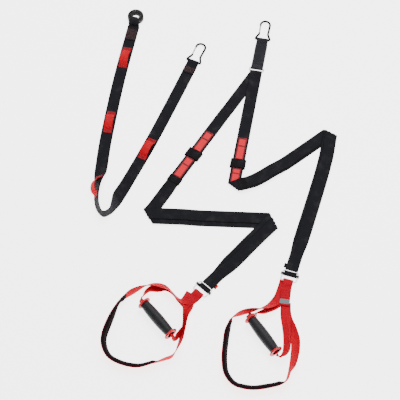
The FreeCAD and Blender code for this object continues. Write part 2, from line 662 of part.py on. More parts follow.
def label(lower, tab_heading):
    """Blank cloth label sewn across a handle's tab."""
    heading = heading_of(*lower[-2:])
    start = RIGHT_TAB_LENGTH - TAB_TAPER - LABEL_LENGTH - 6.0
    cloth = Part.makeBox(LABEL_LENGTH, HANDLE_WEB_WIDTH - 1.0, LABEL_THICKNESS,
                         Vector(start, 0.5 - HANDLE_WEB_WIDTH / 2, 0.2 + TAB_THICKNESS))
    return placed(cloth, along(lower[-1], heading, FRAME_BASE_FROM_BAR + TAB_TAPER), tab_heading)


def hand_webbing(upper, lower, grip):
    """Webbing from the tab through the grip's tube and back."""
    grip_heading = heading_of(*grip)
    reach = FLANGE_THICKNESS + 8.0
    start = along(grip[0], grip_heading, -8.0)
    long = math.dist(*grip) + 16.0
    core = Part.makeBox(long, 2 * HANDLE_WEB_THICKNESS, FOLDED_WEB_WIDTH,
                        Vector(0, -HANDLE_WEB_THICKNESS, GRIP_AXIS_HEIGHT - FOLDED_WEB_WIDTH / 2))
    core = placed(core, start, grip_heading)
    upper_line = [*upper, along(grip[0], grip_heading, -reach), along(grip[0], grip_heading, -4.0)]
    lower_line = [*lower, along(grip[1], grip_heading, reach), along(grip[1], grip_heading, 4.0)]
    sides = [fence(line, HANDLE_WEB_THICKNESS, 0.2, HANDLE_WEB_WIDTH) for line in (upper_line, lower_line)]
    return joined([core, *sides])


def foot_webbing(line):
    """Webbing of the foot loop, standing on its edge."""
    return fence(line, HANDLE_WEB_THICKNESS, 0, HANDLE_WEB_WIDTH)


def foot_pad(line, span):
    """Pad sewn along the inside of the foot loop."""
    points = smooth(line)
    part = points[int(span[0] * len(points)):int(span[1] * len(points))]
    aside = (HANDLE_WEB_THICKNESS + PAD_THICKNESS) / 2 + STACK_CLEARANCE
    inner = [along(a, heading_of(a, b), 0, aside) for a, b in zip(part, part[1:])]
    low = (HANDLE_WEB_WIDTH - PAD_HEIGHT) / 2
    return plan_prism(strip_outline(inner, PAD_THICKNESS), low, low + PAD_HEIGHT)


def turned(outline):
    """Ring turned about X from an outline of distance along the axis and radius."""
    corners = [Vector(x, 0, r) for x, r in outline]
    return Part.Face(Part.makePolygon(corners + corners[:1])).revolve(Vector(0, 0, 0), Vector(1, 0, 0), 360)


def grip_sleeve():
    """Soft sleeve, thickest at its middle."""
    half = GRIP_LENGTH / 2
    ends = Vector(-half, 0, GRIP_END_RADIUS), Vector(half, 0, GRIP_END_RADIUS)
    crown = Part.Arc(ends[0], Vector(0, 0, GRIP_MIDDLE_RADIUS), ends[1]).toShape()
    inner = [Vector(half, 0, GRIP_TUBE_RADIUS), Vector(-half, 0, GRIP_TUBE_RADIUS)]
    rest = Part.makePolygon([ends[1], *inner, ends[0]])
    face = Part.Face(Part.Wire([crown, *rest.Edges]))
    return face.revolve(Vector(0, 0, 0), Vector(1, 0, 0), 360)


def grip_tube():
    """Stiff tube inside the sleeve and both flanges."""
    half = GRIP_LENGTH / 2 + FLANGE_THICKNESS
    return turned([(-half, GRIP_TUBE_BORE), (-half, GRIP_TUBE_RADIUS),
                   (half, GRIP_TUBE_RADIUS), (half, GRIP_TUBE_BORE)])


def flange(side):
    """Moulded end flange on the tube, with a rounded rim."""
    near = side * GRIP_LENGTH / 2
    far = side * (GRIP_LENGTH / 2 + FLANGE_THICKNESS)
    rim = FLANGE_RADIUS - FLANGE_EDGE
    return turned([(near, GRIP_TUBE_RADIUS), (near, rim), (near + side * FLANGE_EDGE / 2, FLANGE_RADIUS - 0.4),
                   (near + side * FLANGE_THICKNESS / 2, FLANGE_RADIUS),
                   (far - side * FLANGE_EDGE / 2, FLANGE_RADIUS - 0.4), (far, rim), (far, GRIP_TUBE_RADIUS)])


def grip_pieces(prefix, grip):
    """All turned pieces of one grip, centred between its two ends."""
    middle = ((grip[0][0] + grip[1][0]) / 2, (grip[0][1] + grip[1][1]) / 2)
    shapes = {"grip_sleeve": grip_sleeve(), "grip_tube": grip_tube(),
              "upper_flange": flange(-1), "lower_flange": flange(1)}
    return {f"{prefix}_{name}": placed(shape, middle, heading_of(*grip), GRIP_AXIS_HEIGHT)
            for name, shape in shapes.items()}


def handle_pieces(prefix, lower, tab_heading, tab_long, foot, hand_upper, hand_lower, grip, pad_span):
    """Buckle, slide bar, webbing, pad and grip of one handle."""
    heading = heading_of(*lower[-2:])
    base_bar = along(lower[-1], heading, FRAME_BASE_FROM_BAR)
    pieces = {"slide_bar": placed(slide_bar(), lower[-1], heading, SLIDE_BAR_HEIGHT),
              "buckle_frame": placed(buckle_frame(), lower[-1], heading, SLIDE_BAR_HEIGHT),
              "tab": placed(tab(tab_heading - heading, tab_long), base_bar, heading),
              "hand_webbing": hand_webbing(hand_upper, hand_lower, grip),
              "foot_webbing": foot_webbing(foot),
              "foot_pad": foot_pad(foot, pad_span)}
    named = {f"{prefix}_{name}": shape for name, shape in pieces.items()}
    return {**named, **grip_pieces(prefix, grip)}


def leg_pieces():
    """Legs with their patches, keepers and tail loops."""
    above = LEG_LIFT + STRAP_THICKNESS
    doubled = LEG_LIFT + DOUBLED
    pieces = {"left_leg_webbing": left_leg(), "right_leg_webbing": right_leg()}
    for side, line, start in (("left", LEFT_LEG, LEFT_MARKER_START), ("right", RIGHT_LEG, RIGHT_MARKER_START)):
        second = start + PATCH_LENGTH + KEEPER_LENGTH
        room = length_of(line) - second - PATCH_WIDTH / 2 - 4.0
        pieces[f"{side}_upper_patch"] = marker_patch(line, start, PATCH_LENGTH, above)
        pieces[f"{side}_lower_patch"] = marker_patch(line, second, min(PATCH_LENGTH, room), doubled)
        pieces[f"{side}_keeper"] = keeper(line, start + PATCH_LENGTH)
    left_loop = LEFT_MARKER_START + 2 * PATCH_LENGTH + KEEPER_LENGTH
    pieces["left_tail_loop"] = tail_loop(LEFT_LEG, left_loop, LEG_LIFT)
    pieces["right_tail_loop"] = tail_loop(RIGHT_CROSS, RIGHT_TAIL_LOOP_AT, RIGHT_FOLD_LEVEL)
    pieces["left_tail_stop"] = tail_stop(LEFT_LOWER, 1)
    pieces["right_tail_stop"] = tail_stop(RIGHT_LOWER, -1)
    return pieces


def anchor_pieces():
    """Anchor strap with its door stop and four length loops."""
    pieces = {"anchor_webbing": anchor_webbing(), "door_stop": door_stop()}
    down = heading_of(ANCHOR_DOWN[1], ANCHOR_DOWN[2])
    turn = heading_of(ANCHOR_TURN[1], ANCHOR_TURN[3])
    back = heading_of(ANCHOR_BACK[1], ANCHOR_BACK[2])
    pieces["length_loop_1"] = length_loop((-289.0, 482.0), heading_of(*ANCHOR_DOWN[:2]), STRAP_THICKNESS)
    pieces["length_loop_2"] = length_loop((-332.0, 238.0), down, STRAP_THICKNESS)
    pieces["length_loop_3"] = standing_length_loop((-361.0, 0.0), turn)
    pieces["length_loop_4"] = length_loop((-213.0, 140.0), back, STRAP_THICKNESS)
    return pieces


def main_pieces():
    """Ring, hanger and carabiner at the top of the legs."""
    heading = heading_of(*RIGHT_LEG[::-1])
    upper_bar = along(RING_AT, heading, RING_BAR_SPACING)
    hook = along(upper_bar, heading, HANGER_LENGTH)
    return {"y_ring": placed(ring(), RING_AT, heading, RING_HEIGHT),
            "hanger_webbing": placed(hanger(), upper_bar, heading),
            **carabiner_pieces("main", hook, heading)}


nodes = {}
nodes.update(leg_pieces())
nodes.update(main_pieces())
nodes.update(anchor_pieces())
nodes.update(carabiner_pieces("anchor", ANCHOR_BACK[-1], heading_of(*ANCHOR_BACK[-2:])))
nodes.update(handle_pieces("left", LEFT_LOWER, LEFT_TAB_HEADING, LEFT_TAB_LENGTH, LEFT_FOOT_LOOP,
                           LEFT_HAND_UPPER, LEFT_HAND_LOWER, LEFT_GRIP, LEFT_PAD_SPAN))
nodes.update(handle_pieces("right", RIGHT_LOWER, RIGHT_TAB_HEADING, RIGHT_TAB_LENGTH, RIGHT_FOOT_LOOP,
                           RIGHT_HAND_UPPER, RIGHT_HAND_LOWER, RIGHT_GRIP, RIGHT_PAD_SPAN))
nodes["right_label"] = label(RIGHT_LOWER, RIGHT_TAB_HEADING)

os.makedirs("parts", exist_ok=True)
for name, shape in nodes.items():
    shape.translate(Vector(-CENTRE[0], -CENTRE[1], 0))
    shape.exportStep(f"parts/{name}.step")
    box = shape.BoundBox
    print(name, len(shape.Solids), shape.isValid(), round(shape.Volume / 1000, 2),
          [round(v, 1) for v in (box.XMin, box.XMax, box.YMin, box.YMax, box.ZMin, box.ZMax)])
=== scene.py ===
"""Looks of the two-handled suspension trainer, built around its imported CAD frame."""
import json
import math

import bmesh
import bpy
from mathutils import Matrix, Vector


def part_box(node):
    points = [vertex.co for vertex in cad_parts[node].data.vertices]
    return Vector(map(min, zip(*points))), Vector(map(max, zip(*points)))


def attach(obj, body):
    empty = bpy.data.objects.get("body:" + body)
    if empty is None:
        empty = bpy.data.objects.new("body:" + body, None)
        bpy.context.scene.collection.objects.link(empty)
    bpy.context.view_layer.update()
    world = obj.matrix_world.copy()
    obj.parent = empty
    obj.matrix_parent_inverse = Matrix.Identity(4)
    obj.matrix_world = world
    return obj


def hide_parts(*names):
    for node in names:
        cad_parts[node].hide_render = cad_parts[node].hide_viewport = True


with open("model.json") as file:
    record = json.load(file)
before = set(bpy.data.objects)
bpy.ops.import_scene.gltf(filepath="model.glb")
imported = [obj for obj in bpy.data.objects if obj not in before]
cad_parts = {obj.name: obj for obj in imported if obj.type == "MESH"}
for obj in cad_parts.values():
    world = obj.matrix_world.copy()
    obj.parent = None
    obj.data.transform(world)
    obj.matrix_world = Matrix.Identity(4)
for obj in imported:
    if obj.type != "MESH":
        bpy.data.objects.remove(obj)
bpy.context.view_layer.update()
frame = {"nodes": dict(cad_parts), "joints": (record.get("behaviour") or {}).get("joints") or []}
scene = bpy.context.scene
joints = {joint["name"]: joint for joint in frame["joints"]}

# --- Camera, floor and light ---------------------------------------------------------------
# A camera that looks down at the laid-out trainer, a pale table, and soft light from a
# large panel above and from all around.
CAMERA_TARGET = Vector((-0.0468, -0.0423, 0.0))
CAMERA_DISTANCE = 4.4
CAMERA_ELEVATION = math.radians(60)
CAMERA_ANGLE = math.radians(15.5)
camera_data = bpy.data.cameras.new("camera")
camera_data.angle = CAMERA_ANGLE
camera = bpy.data.objects.new("camera", camera_data)
look = Vector((0, math.cos(CAMERA_ELEVATION), -math.sin(CAMERA_ELEVATION)))
camera.location = CAMERA_TARGET - CAMERA_DISTANCE * look
camera.rotation_euler = look.to_track_quat("-Z", "Y").to_euler()
scene.collection.objects.link(camera)
scene.camera = camera

FLOOR_SIZE = 14.0
FLOOR_GLOW = 3.6
ROOM_LIGHT = 0.6
LIGHT_PANELS = (
    # name, place, size in metres, watts
    ("top_panel", (0.3, 1.2, 2.8), 2.0, 95.0),
    ("side_panel", (2.4, -1.2, 1.8), 1.6, 14.0),
)
floor_mesh = bpy.data.meshes.new("floor")
corner = FLOOR_SIZE / 2
floor_mesh.from_pydata([(-corner, -corner, 0), (corner, -corner, 0), (corner, corner, 0),
                        (-corner, corner, 0)],
                       [], [(0, 1, 2, 3)])
floor = bpy.data.objects.new("floor", floor_mesh)
scene.collection.objects.link(floor)
floor_material = bpy.data.materials.new("pale_table")
floor_material.use_nodes = True
floor_shader = floor_material.node_tree.nodes["Principled BSDF"]
floor_shader.inputs["Base Color"].default_value = (0.93, 0.93, 0.935, 1)
floor_shader.inputs["Roughness"].default_value = 0.7
floor_shader.inputs["Emission Color"].default_value = (1, 1, 1, 1)
floor_shader.inputs["Emission Strength"].default_value = FLOOR_GLOW
floor_mesh.materials.append(floor_material)

world = bpy.data.worlds.new("studio")
world.use_nodes = True
world.node_tree.nodes["Background"].inputs["Color"].default_value = (1, 1, 1, 1)
world.node_tree.nodes["Background"].inputs["Strength"].default_value = ROOM_LIGHT
scene.world = world
for name, place, size, power in LIGHT_PANELS:
    light_data = bpy.data.lights.new(name, "AREA")
    light_data.size = size
    light_data.energy = power
    light = bpy.data.objects.new(name, light_data)
    light.location = place
    light.rotation_euler = (-Vector(place)).to_track_quat("-Z", "Y").to_euler()
    scene.collection.objects.link(light)

# --- Legs ----------------------------------------------------------------------------------
# Two lengths of 38 mm woven black webbing, sewn together at the ring. Each is folded flat
# twice, passes round the slide bar of its buckle and comes back underneath to its markers.
MM = 0.001
STRAP_WIDTH = 38 * MM
STRAP_THICKNESS = 2.0 * MM
LAYER_STEP = 2.1 * MM
LAYOUT_SHIFT = Vector((4.2, -4.3, 0))
NEAR_ALONG = 0.2 * MM
NEAR_ACROSS = 0.1 * MM


def at(x, y, z=0.0):
    """Place of a point of the layout plan, given in millimetres."""
    return (Vector((x, y, z)) + LAYOUT_SHIFT) * MM


def heading(start, end):
    """Level unit vector from one place to another."""
    way = Vector((end.x - start.x, end.y - start.y, 0))
    return way.normalized()


def left_of(way):
    """Level unit vector to the left of a way."""
    return Vector((-way.y, way.x, 0))


def ease(value, start, end):
    """Smooth step from 0 at start to 1 at end."""
    share = min(max((value - start) / (end - start), 0.0), 1.0)
    return share * share * (3 - 2 * share)


def smooth_line(points, step):
    """Evenly spaced points of a smooth line through the given ones, and its length."""
    points = [tuple(p) for p in points]
    size = len(points[0])
    first = tuple(2 * a - b for a, b in zip(points[0], points[1]))
    last = tuple(2 * a - b for a, b in zip(points[-1], points[-2]))
    path = [first, *points, last]
    fine = []
    for i in range(1, len(path) - 2):
        p0, p1, p2, p3 = path[i - 1:i + 3]
        times = [0.0]
        for a, b in ((p0, p1), (p1, p2), (p2, p3)):
            times.append(times[-1] + math.dist(a[:3], b[:3]) ** 0.5)
        for k in range(24):
            t = times[1] + (times[2] - times[1]) * k / 24
            row = []
            for d in range(size):
                a1 = ((times[1] - t) * p0[d] + (t - times[0]) * p1[d]) / (times[1] - times[0])
                a2 = ((times[2] - t) * p1[d] + (t - times[1]) * p2[d]) / (times[2] - times[1])
                a3 = ((times[3] - t) * p2[d] + (t - times[2]) * p3[d]) / (times[3] - times[2])
                b1 = ((times[2] - t) * a1 + (t - times[0]) * a2) / (times[2] - times[0])
                b2 = ((times[3] - t) * a2 + (t - times[1]) * a3) / (times[3] - times[1])
                row.append(((times[2] - t) * b1 + (t - times[1]) * b2) / (times[2] - times[1]))
            fine.append(row)
    fine.append(list(points[-1]))
    marks = [0.0]
    for a, b in zip(fine, fine[1:]):
        marks.append(marks[-1] + math.dist(a[:3], b[:3]))
    count = max(2, round(marks[-1] / step))
    even = []
    k = 0
    for i in range(count + 1):
        goal = marks[-1] * i / count
        while k < len(marks) - 2 and marks[k + 1] < goal:
            k += 1
        share = (goal - marks[k]) / max(marks[k + 1] - marks[k], 1e-12)
        even.append([a + share * (b - a) for a, b in zip(fine[k], fine[k + 1])])
    return even, marks[-1]


def row_at(rows, share):
    """Row at a place counted in rows, going straight on past either end."""
    k = min(max(int(math.floor(share)), 0), len(rows) - 2)
    return [a + (share - k) * (b - a) for a, b in zip(rows[k], rows[k + 1])]


def new_piece(name, mesh, material=None):
    """Object that holds a mesh, in the scene, with its material."""
    piece = bpy.data.objects.new(name, mesh)
    scene.collection.objects.link(piece)
    if material:
        mesh.materials.append(material)
    return piece


def webbing_mesh(name, place, length, width, thickness, step=5 * MM, across=10, start=0.0):
    """Closed woven strip with round selvedges, around the middle surface that place gives."""
    count = max(2, round(length / step))
    columns = [-0.5 + 0.018 * k for k in (0, 1, 2.2)]
    columns += [-0.43 + 0.86 * k / across for k in range(across + 1)]
    columns += [-c for c in columns[2::-1]]
    mesh = bmesh.new()
    uv_layer = mesh.loops.layers.uv.new("weave")
    rows = []
    marks = []
    for i in range(count + 1):
        s = start + length * i / count
        top = []
        bottom = []
        for c in columns:
            v = c * width
            here = place(s, v)
            along = place(s + NEAR_ALONG, v) - place(s - NEAR_ALONG, v)
            side = place(s, v + NEAR_ACROSS) - place(s, v - NEAR_ACROSS)
            normal = along.cross(side).normalized()
            inset = (0.5 * width - abs(v)) / (0.5 * thickness)
            swell = 1.0 if inset >= 1 else math.sqrt(max(0.0, 1 - (1 - inset) ** 2))
            rim = normal * (0.5 * thickness * swell)
            top.append(mesh.verts.new(here + rim))
            bottom.append(top[-1] if swell == 0.0 else mesh.verts.new(here - rim))
        rows.append(top + bottom[-2:0:-1])
        marks.append(s)
    ring = len(rows[0])
    widths = [c * width for c in columns] + [c * width for c in columns[-2:0:-1]]
    for i in range(count):
        for j in range(ring):
            k = (j + 1) % ring
            face = mesh.faces.new((rows[i][j], rows[i + 1][j], rows[i + 1][k], rows[i][k]))
            face.smooth = True
            places = ((marks[i], widths[j]), (marks[i + 1], widths[j]), (marks[i + 1], widths[k]),
                      (marks[i], widths[k]))
            for loop, uv in zip(face.loops, places):
                loop[uv_layer].uv = uv
    half = len(columns)
    for row, flip in ((rows[0], False), (rows[-1], True)):
        upper = row[:half]
        lower = [row[0]] + row[:half - 1:-1] + [row[half - 1]]
        for j in range(half - 1):
            corners = [upper[j], upper[j + 1], lower[j + 1], lower[j]]
            corners = [v for k, v in enumerate(corners) if v not in corners[:k]]
            face = mesh.faces.new(corners[::-1] if flip else corners)
            for loop in face.loops:
                loop[uv_layer].uv = (start, 0.0)
    data = bpy.data.meshes.new(name)
    mesh.to_mesh(data)
    mesh.free()
    return data


def add_node(tree, kind, inputs=None, **settings):
    """Shader or geometry node with its settings, input values and links."""
    node = tree.nodes.new(kind)
    for key, value in settings.items():
        setattr(node, key, value)
    for key, value in (inputs or {}).items():
        socket = node.inputs[key]
        if isinstance(value, bpy.types.NodeSocket):
            tree.links.new(value, socket)
        else:
            socket.default_value = value
    return node


def math_node(tree, operation, a, b=0.0):
    """Result of one sum."""
    return add_node(tree, "ShaderNodeMath", {0: a, 1: b}, operation=operation).outputs[0]


def new_group(name, inputs, outputs, tree_type="ShaderNodeTree"):
    """Node group with named inputs, each with its default, and named outputs."""
    tree = bpy.data.node_groups.new(name, tree_type)
    for label, kind, value in inputs:
        socket = tree.interface.new_socket(name=label, in_out="INPUT", socket_type=kind)
        if value is not None:
            socket.default_value = value
    for label, kind in outputs:
        tree.interface.new_socket(name=label, in_out="OUTPUT", socket_type=kind)
    return tree, tree.nodes.new("NodeGroupInput"), tree.nodes.new("NodeGroupOutput")


# The weave: warp yarns lie along the strap in columns, each crossed by the weft half a
# stitch later than its neighbour, darker along both edges, with a little wear and dust. Its colour is
# lighter on the yarn crowns and darker in the hollows between them: painted shade, mixed with random tone.
weave, weave_in, weave_out = new_group("webbing_weave", [
    ("Light", "NodeSocketColor", (0.1, 0.1, 0.1, 1)), ("Dark", "NodeSocketColor", (0.02, 0.02, 0.02, 1)),
    ("Yarn Width", "NodeSocketFloat", 0.0012), ("Weft Step", "NodeSocketFloat", 0.0016),
    ("Half Width", "NodeSocketFloat", 0.019), ("Dust", "NodeSocketFloat", 0.2)],
    [("Color", "NodeSocketColor"), ("Roughness", "NodeSocketFloat"), ("Height", "NodeSocketFloat")])
weave_uv = add_node(weave, "ShaderNodeUVMap", uv_map="weave")
weave_xy = add_node(weave, "ShaderNodeSeparateXYZ", {0: weave_uv.outputs[0]})
column = math_node(weave, "DIVIDE", weave_xy.outputs[1], weave_in.outputs["Yarn Width"])
column_part = math_node(weave, "FRACT", column)
parity = math_node(weave, "MODULO", math_node(weave, "ABSOLUTE", math_node(weave, "FLOOR", column)), 2.0)
shifted = math_node(weave, "ADD", math_node(weave, "DIVIDE", weave_xy.outputs[0],
                                            weave_in.outputs["Weft Step"]),
                    math_node(weave, "MULTIPLY", parity, 0.5))
row_part = math_node(weave, "FRACT", math_node(weave, "ADD", shifted,
                                               math_node(weave, "MULTIPLY", column_part, 0.35)))
yarn_swell = math_node(weave, "SINE", math_node(weave, "MULTIPLY", column_part, math.pi))
weft_swell = math_node(weave, "SINE", math_node(weave, "MULTIPLY", row_part, math.pi))
knuckle = math_node(weave, "MULTIPLY", yarn_swell, math_node(weave, "POWER", weft_swell, 0.6))
fibre = add_node(weave, "ShaderNodeTexNoise", {"Vector": weave_uv.outputs[0], "Scale": 2600.0,
                                               "Detail": 2.0})
patina = add_node(weave, "ShaderNodeTexNoise", {"Vector": weave_uv.outputs[0], "Scale": 34.0,
                                                "Detail": 4.0})
# Darker along both edges of the strap, within about 2 mm of each edge.
edge_reach = math_node(weave, "SUBTRACT", weave_in.outputs["Half Width"],
                       math_node(weave, "ABSOLUTE", weave_xy.outputs[1]))
selvedge = add_node(weave, "ShaderNodeMapRange", {"Value": edge_reach, "From Min": 0.0022,
                                                  "From Max": 0.0012})
# Painted shade: the colour share is high on the yarn crowns and low in the hollows between yarns (knuckle),
# mixed with random fibre and patina tone.
fibre_light = math_node(weave, "MULTIPLY", fibre.outputs["Fac"], 0.7)
patina_light = math_node(weave, "MULTIPLY", patina.outputs["Fac"], 0.5)
hollow_shade_and_tone = math_node(weave, "MULTIPLY", knuckle, math_node(weave, "ADD", fibre_light, patina_light))
hollow_shade_and_tone = math_node(weave, "SUBTRACT", hollow_shade_and_tone,
                       math_node(weave, "MULTIPLY", selvedge.outputs[0], 0.35))
yarn_color = add_node(weave, "ShaderNodeMix", {0: hollow_shade_and_tone, 6: weave_in.outputs["Dark"],
                                               7: weave_in.outputs["Light"]}, data_type="RGBA")
dust_mask = add_node(weave, "ShaderNodeMapRange", {"Value": patina.outputs["Fac"], "From Min": 0.52,
                                                   "From Max": 0.78, "To Max": weave_in.outputs["Dust"]})
dusted = add_node(weave, "ShaderNodeMix", {0: dust_mask.outputs[0], 6: yarn_color.outputs[2],
                                           7: (0.42, 0.4, 0.38, 1)}, data_type="RGBA")
weave.links.new(dusted.outputs[2], weave_out.inputs["Color"])
weave.links.new(math_node(weave, "ADD", math_node(weave, "MULTIPLY", fibre.outputs["Fac"], 0.2), 0.62),
                weave_out.inputs["Roughness"])
weave.links.new(math_node(weave, "ADD", knuckle, math_node(weave, "MULTIPLY", fibre.outputs["Fac"], 0.3)),
                weave_out.inputs["Height"])


def webbing_material(name, light, dark, width=STRAP_WIDTH, dust=0.15, sheen=0.075, yarn=0.0012,
                     weft=0.0016):
    """Woven webbing of one colour."""
    material = bpy.data.materials.new(name)
    material.use_nodes = True
    tree = material.node_tree
    shader = tree.nodes["Principled BSDF"]
    group = add_node(tree, "ShaderNodeGroup", node_tree=weave)
    for key, value in (("Light", (*light, 1)), ("Dark", (*dark, 1)), ("Yarn Width", yarn),
                       ("Weft Step", weft),
                       ("Half Width", width / 2), ("Dust", dust)):
        group.inputs[key].default_value = value
    bump = add_node(tree, "ShaderNodeBump", {"Height": group.outputs["Height"], "Strength": 0.55,
                                             "Distance": 0.0004})
    tree.links.new(group.outputs["Color"], shader.inputs["Base Color"])
    tree.links.new(group.outputs["Roughness"], shader.inputs["Roughness"])
    tree.links.new(bump.outputs[0], shader.inputs["Normal"])
    shader.inputs["Sheen Weight"].default_value = sheen
    shader.inputs["Sheen Roughness"].default_value = 0.4
    shader.inputs["Specular IOR Level"].default_value = 0.05
    return material


black_webbing = webbing_material("black_webbing", (0.03, 0.03, 0.036), (0.006, 0.006, 0.008), dust=0.03,
                                 sheen=0.012)


FOLD_REACH = 24 * MM


def folded_path(runs, first_level, drops):
    """Middle surface of a flat strap of several runs, each folded over onto the one before it."""
    lines = []
    for run in runs:
        before = run[0] + FOLD_REACH * heading(run[0], run[1])
        after = run[-1] + FOLD_REACH * heading(run[-1], run[-2])
        rows, long = smooth_line([run[0], before, *run[1:-1], after, run[-1]], 4 * MM)
        lines.append(([Vector(row) for row in rows], long))
    starts = [sum(long for rows, long in lines[:k]) for k in range(len(lines) + 1)]
    folds = []
    for k in range(len(runs) - 1):
        arrive = heading(runs[k][-2], runs[k][-1])
        leave = heading(runs[k + 1][0], runs[k + 1][1])
        outward = left_of((arrive + leave).normalized())
        folds.append((arrive, -outward if outward.dot(arrive) < 0 else outward))

    def level(k, d):
        if k == 0:
            return first_level(d)
        high, low, drop_start, drop_end = drops[k - 1]
        return high + (low - high) * ease(d, drop_start, drop_end)

    def place(s, v):
        k = 0
        while k < len(runs) - 1 and s > starts[k + 1]:
            k += 1
        d = s - starts[k]
        rows, long = lines[k]
        fold = k if d > long - FOLD_REACH else k - 1 if d < FOLD_REACH else None
        if fold is None or not 0 <= fold < len(folds):
            share = min(max(d / long, 0.0), 1.0) * (len(rows) - 1)
            i = min(int(share), len(rows) - 2)
            way = heading(rows[i], rows[i + 1])
            behind = heading(rows[max(i - 1, 0)], rows[i])
            ahead = heading(rows[i + 1], rows[min(i + 2, len(rows) - 1)])
            blend = share - i
            way = ((way + behind) * (1 - blend) + (way + ahead) * blend).normalized()
            point = rows[i].lerp(rows[i + 1], blend) if 0 <= share <= len(rows) - 1 else rows[i]
            point = point + max(d - long, 0.0) * way + min(d, 0.0) * way + v * (-1) ** k * left_of(way)
            point.z = level(k, d)
            return point
        arrive, outward = folds[fold]
        corner_at = runs[fold][-1]
        beyond = s - starts[fold + 1]
        point = corner_at + beyond * arrive + v * (-1) ** fold * left_of(arrive)
        low = level(fold, lines[fold][1])
        radius = (drops[fold][0] - low) / 2
        reach = (point - corner_at).dot(outward) + math.pi * radius / 2
        turn = min(max(reach / radius, 0.0), math.pi)
        if reach > 0:
            point += (radius * math.sin(turn) - max(reach - math.pi * radius, 0.0) - reach) * outward
        settled = low if k == fold else drops[fold][0]
        point.z = low + radius * (1 - math.cos(turn)) + (level(k, d) - settled)
        return point
    return place, starts


def on_stack(path, s, v, height):
    """Point at a height above the middle surface of a path."""
    along = path(s + NEAR_ALONG, v) - path(s - NEAR_ALONG, v)
    side = path(s, v + NEAR_ACROSS) - path(s, v - NEAR_ACROSS)
    return path(s, v) + height * along.cross(side).normalized()


def leg_strip(name, runs, first_level, drops, tail_mark, spread):
    """One leg in a single strip: from the ring over two folds, round the slide bar and back to its tail.

    spread lists how far the two layers lie to either side of each other along the way.
    """
    half_layer = LAYER_STEP / 2
    wrap_reach = 46 * MM
    path, starts = folded_path(runs, first_level, drops)
    bend = [(-46, 3.1), (-30, 3.1), (-15, 3.15), (-8.3, 4.0), (-5.3, 7.2)]
    bend += [(4.4 * math.cos(math.radians(a)), 7.5 + 4.4 * math.sin(math.radians(a)))
             for a in range(140, -91, -23)]
    bend += [(-6, 2.6), (-13, 1.35), (-28, 1.05), (-46, 1.0)]
    wrap, wrap_length = smooth_line([(x * MM, z * MM) for x, z in bend], 0.8 * MM)
    start_wrap = starts[-1] - wrap_reach
    bar = runs[-1][-1]
    end_way = heading(runs[-1][-2], bar)

    def aside(s):
        for (a, low), (b, high) in zip(spread, spread[1:]):
            if s < b:
                return low + (high - low) * ease(s, a, b)
        return spread[-1][1]

    def place(s, v):
        if s <= start_wrap:
            return on_stack(path, s, v + aside(s),
                            half_layer * ease(s, tail_mark - 15 * MM, tail_mark + 20 * MM))
        if s < start_wrap + wrap_length:
            x, z = row_at(wrap, (s - start_wrap) / wrap_length * (len(wrap) - 1))
            return Vector((bar.x, bar.y, z)) + x * end_way + v * left_of(end_way)
        back = start_wrap - (s - start_wrap - wrap_length)
        return on_stack(path, back, v - aside(back), -half_layer)
    length = start_wrap + wrap_length + (start_wrap - tail_mark)
    mesh = webbing_mesh(name, place, length, STRAP_WIDTH, STRAP_THICKNESS)
    return new_piece(name, mesh, black_webbing), path, starts, length


LEG_LIFT = 2.2 * MM
LEFT_MARKS = 270 * MM
RIGHT_MARKS = 252 * MM
PATCH_LENGTH = 78 * MM
KEEPER_LENGTH = 32 * MM
PAIR_LEVEL = 2.05 * MM
RING_AT = at(126, 426)
LEFT_RUNS = [[RING_AT, at(-208, -95)], [at(-208, -95), at(169, -111)], [at(169, -111), at(-41, -337)]]
RIGHT_RUNS = [[RING_AT, at(49, 2)], [at(49, 2), at(112, 23), at(180, 68), at(350, 200)],
              [at(350, 200), at(330, 100), at(210, -294)]]


def left_level(d):
    """Height of the left leg's middle surface between the ring and its first fold."""
    marks_end = LEFT_MARKS + 2 * PATCH_LENGTH + KEEPER_LENGTH + 30 * MM
    raised = ease(d, 150 * MM, 200 * MM) - ease(d, marks_end, marks_end + 40 * MM)
    tail = LEFT_MARKS + PATCH_LENGTH
    return 1.0 * MM + LEG_LIFT * raised + LAYER_STEP / 2 * ease(d, tail, tail + 20 * MM)


def right_level(d):
    """Height of the right leg's middle surface between the ring and its first fold."""
    tail = RIGHT_MARKS + PATCH_LENGTH
    from_ring = 6.0 * MM * (1 - ease(d, 2 * MM, 30 * MM))
    return 1.0 * MM + LEG_LIFT + from_ring + LAYER_STEP / 2 * ease(d, tail, tail + 20 * MM)


# Each run after a fold: its height on the run below, its height on the floor, and where it comes down.
SINGLE_DROP = ((4.4 + 2.05) * MM, PAIR_LEVEL, 0.100, 0.165)
LEFT_DROPS = [SINGLE_DROP, SINGLE_DROP]
RIGHT_DROPS = [((9.4 + 2.05) * MM, PAIR_LEVEL, 0.120, 0.190), SINGLE_DROP]
LEFT_SPREAD = [(0.0, 0.0), (0.470, 0.0), (0.520, 0.002), (0.575, 0.002), (0.640, 0.008), (0.990, 0.008),
               (1.060, 0.007), (1.180, 0.007), (1.258, 0.0)]
RIGHT_SPREAD = [(0.0, 0.0), (0.430, 0.0), (0.500, 0.003), (0.760, 0.003), (1.180, 0.004), (1.245, 0.0)]
left_leg, left_path, left_starts, left_length = leg_strip(
    "left_leg", LEFT_RUNS, left_level, LEFT_DROPS, LEFT_MARKS + PATCH_LENGTH, LEFT_SPREAD)
right_leg, right_path, right_starts, right_length = leg_strip(
    "right_leg", RIGHT_RUNS, right_level, RIGHT_DROPS, RIGHT_MARKS + PATCH_LENGTH, RIGHT_SPREAD)
for piece, node, length in ((left_leg, "left_leg_webbing", left_length),
                            (right_leg, "right_leg_webbing", right_length)):
    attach(piece, "straps")
    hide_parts(node)

# --- Marker patches ------------------------------------------------------------------------
# Two bright red length markers on each leg, cut from narrower webbing and sewn down along
# both edges with a dense zigzag of dark red thread, with one bar of stitches across.
PATCH_WIDTH = 26 * MM
PATCH_THICKNESS = 0.9 * MM
THREAD = 0.42 * MM
PATCH_THREAD = 0.62 * MM
PATCH_MARGIN = 1.6 * MM


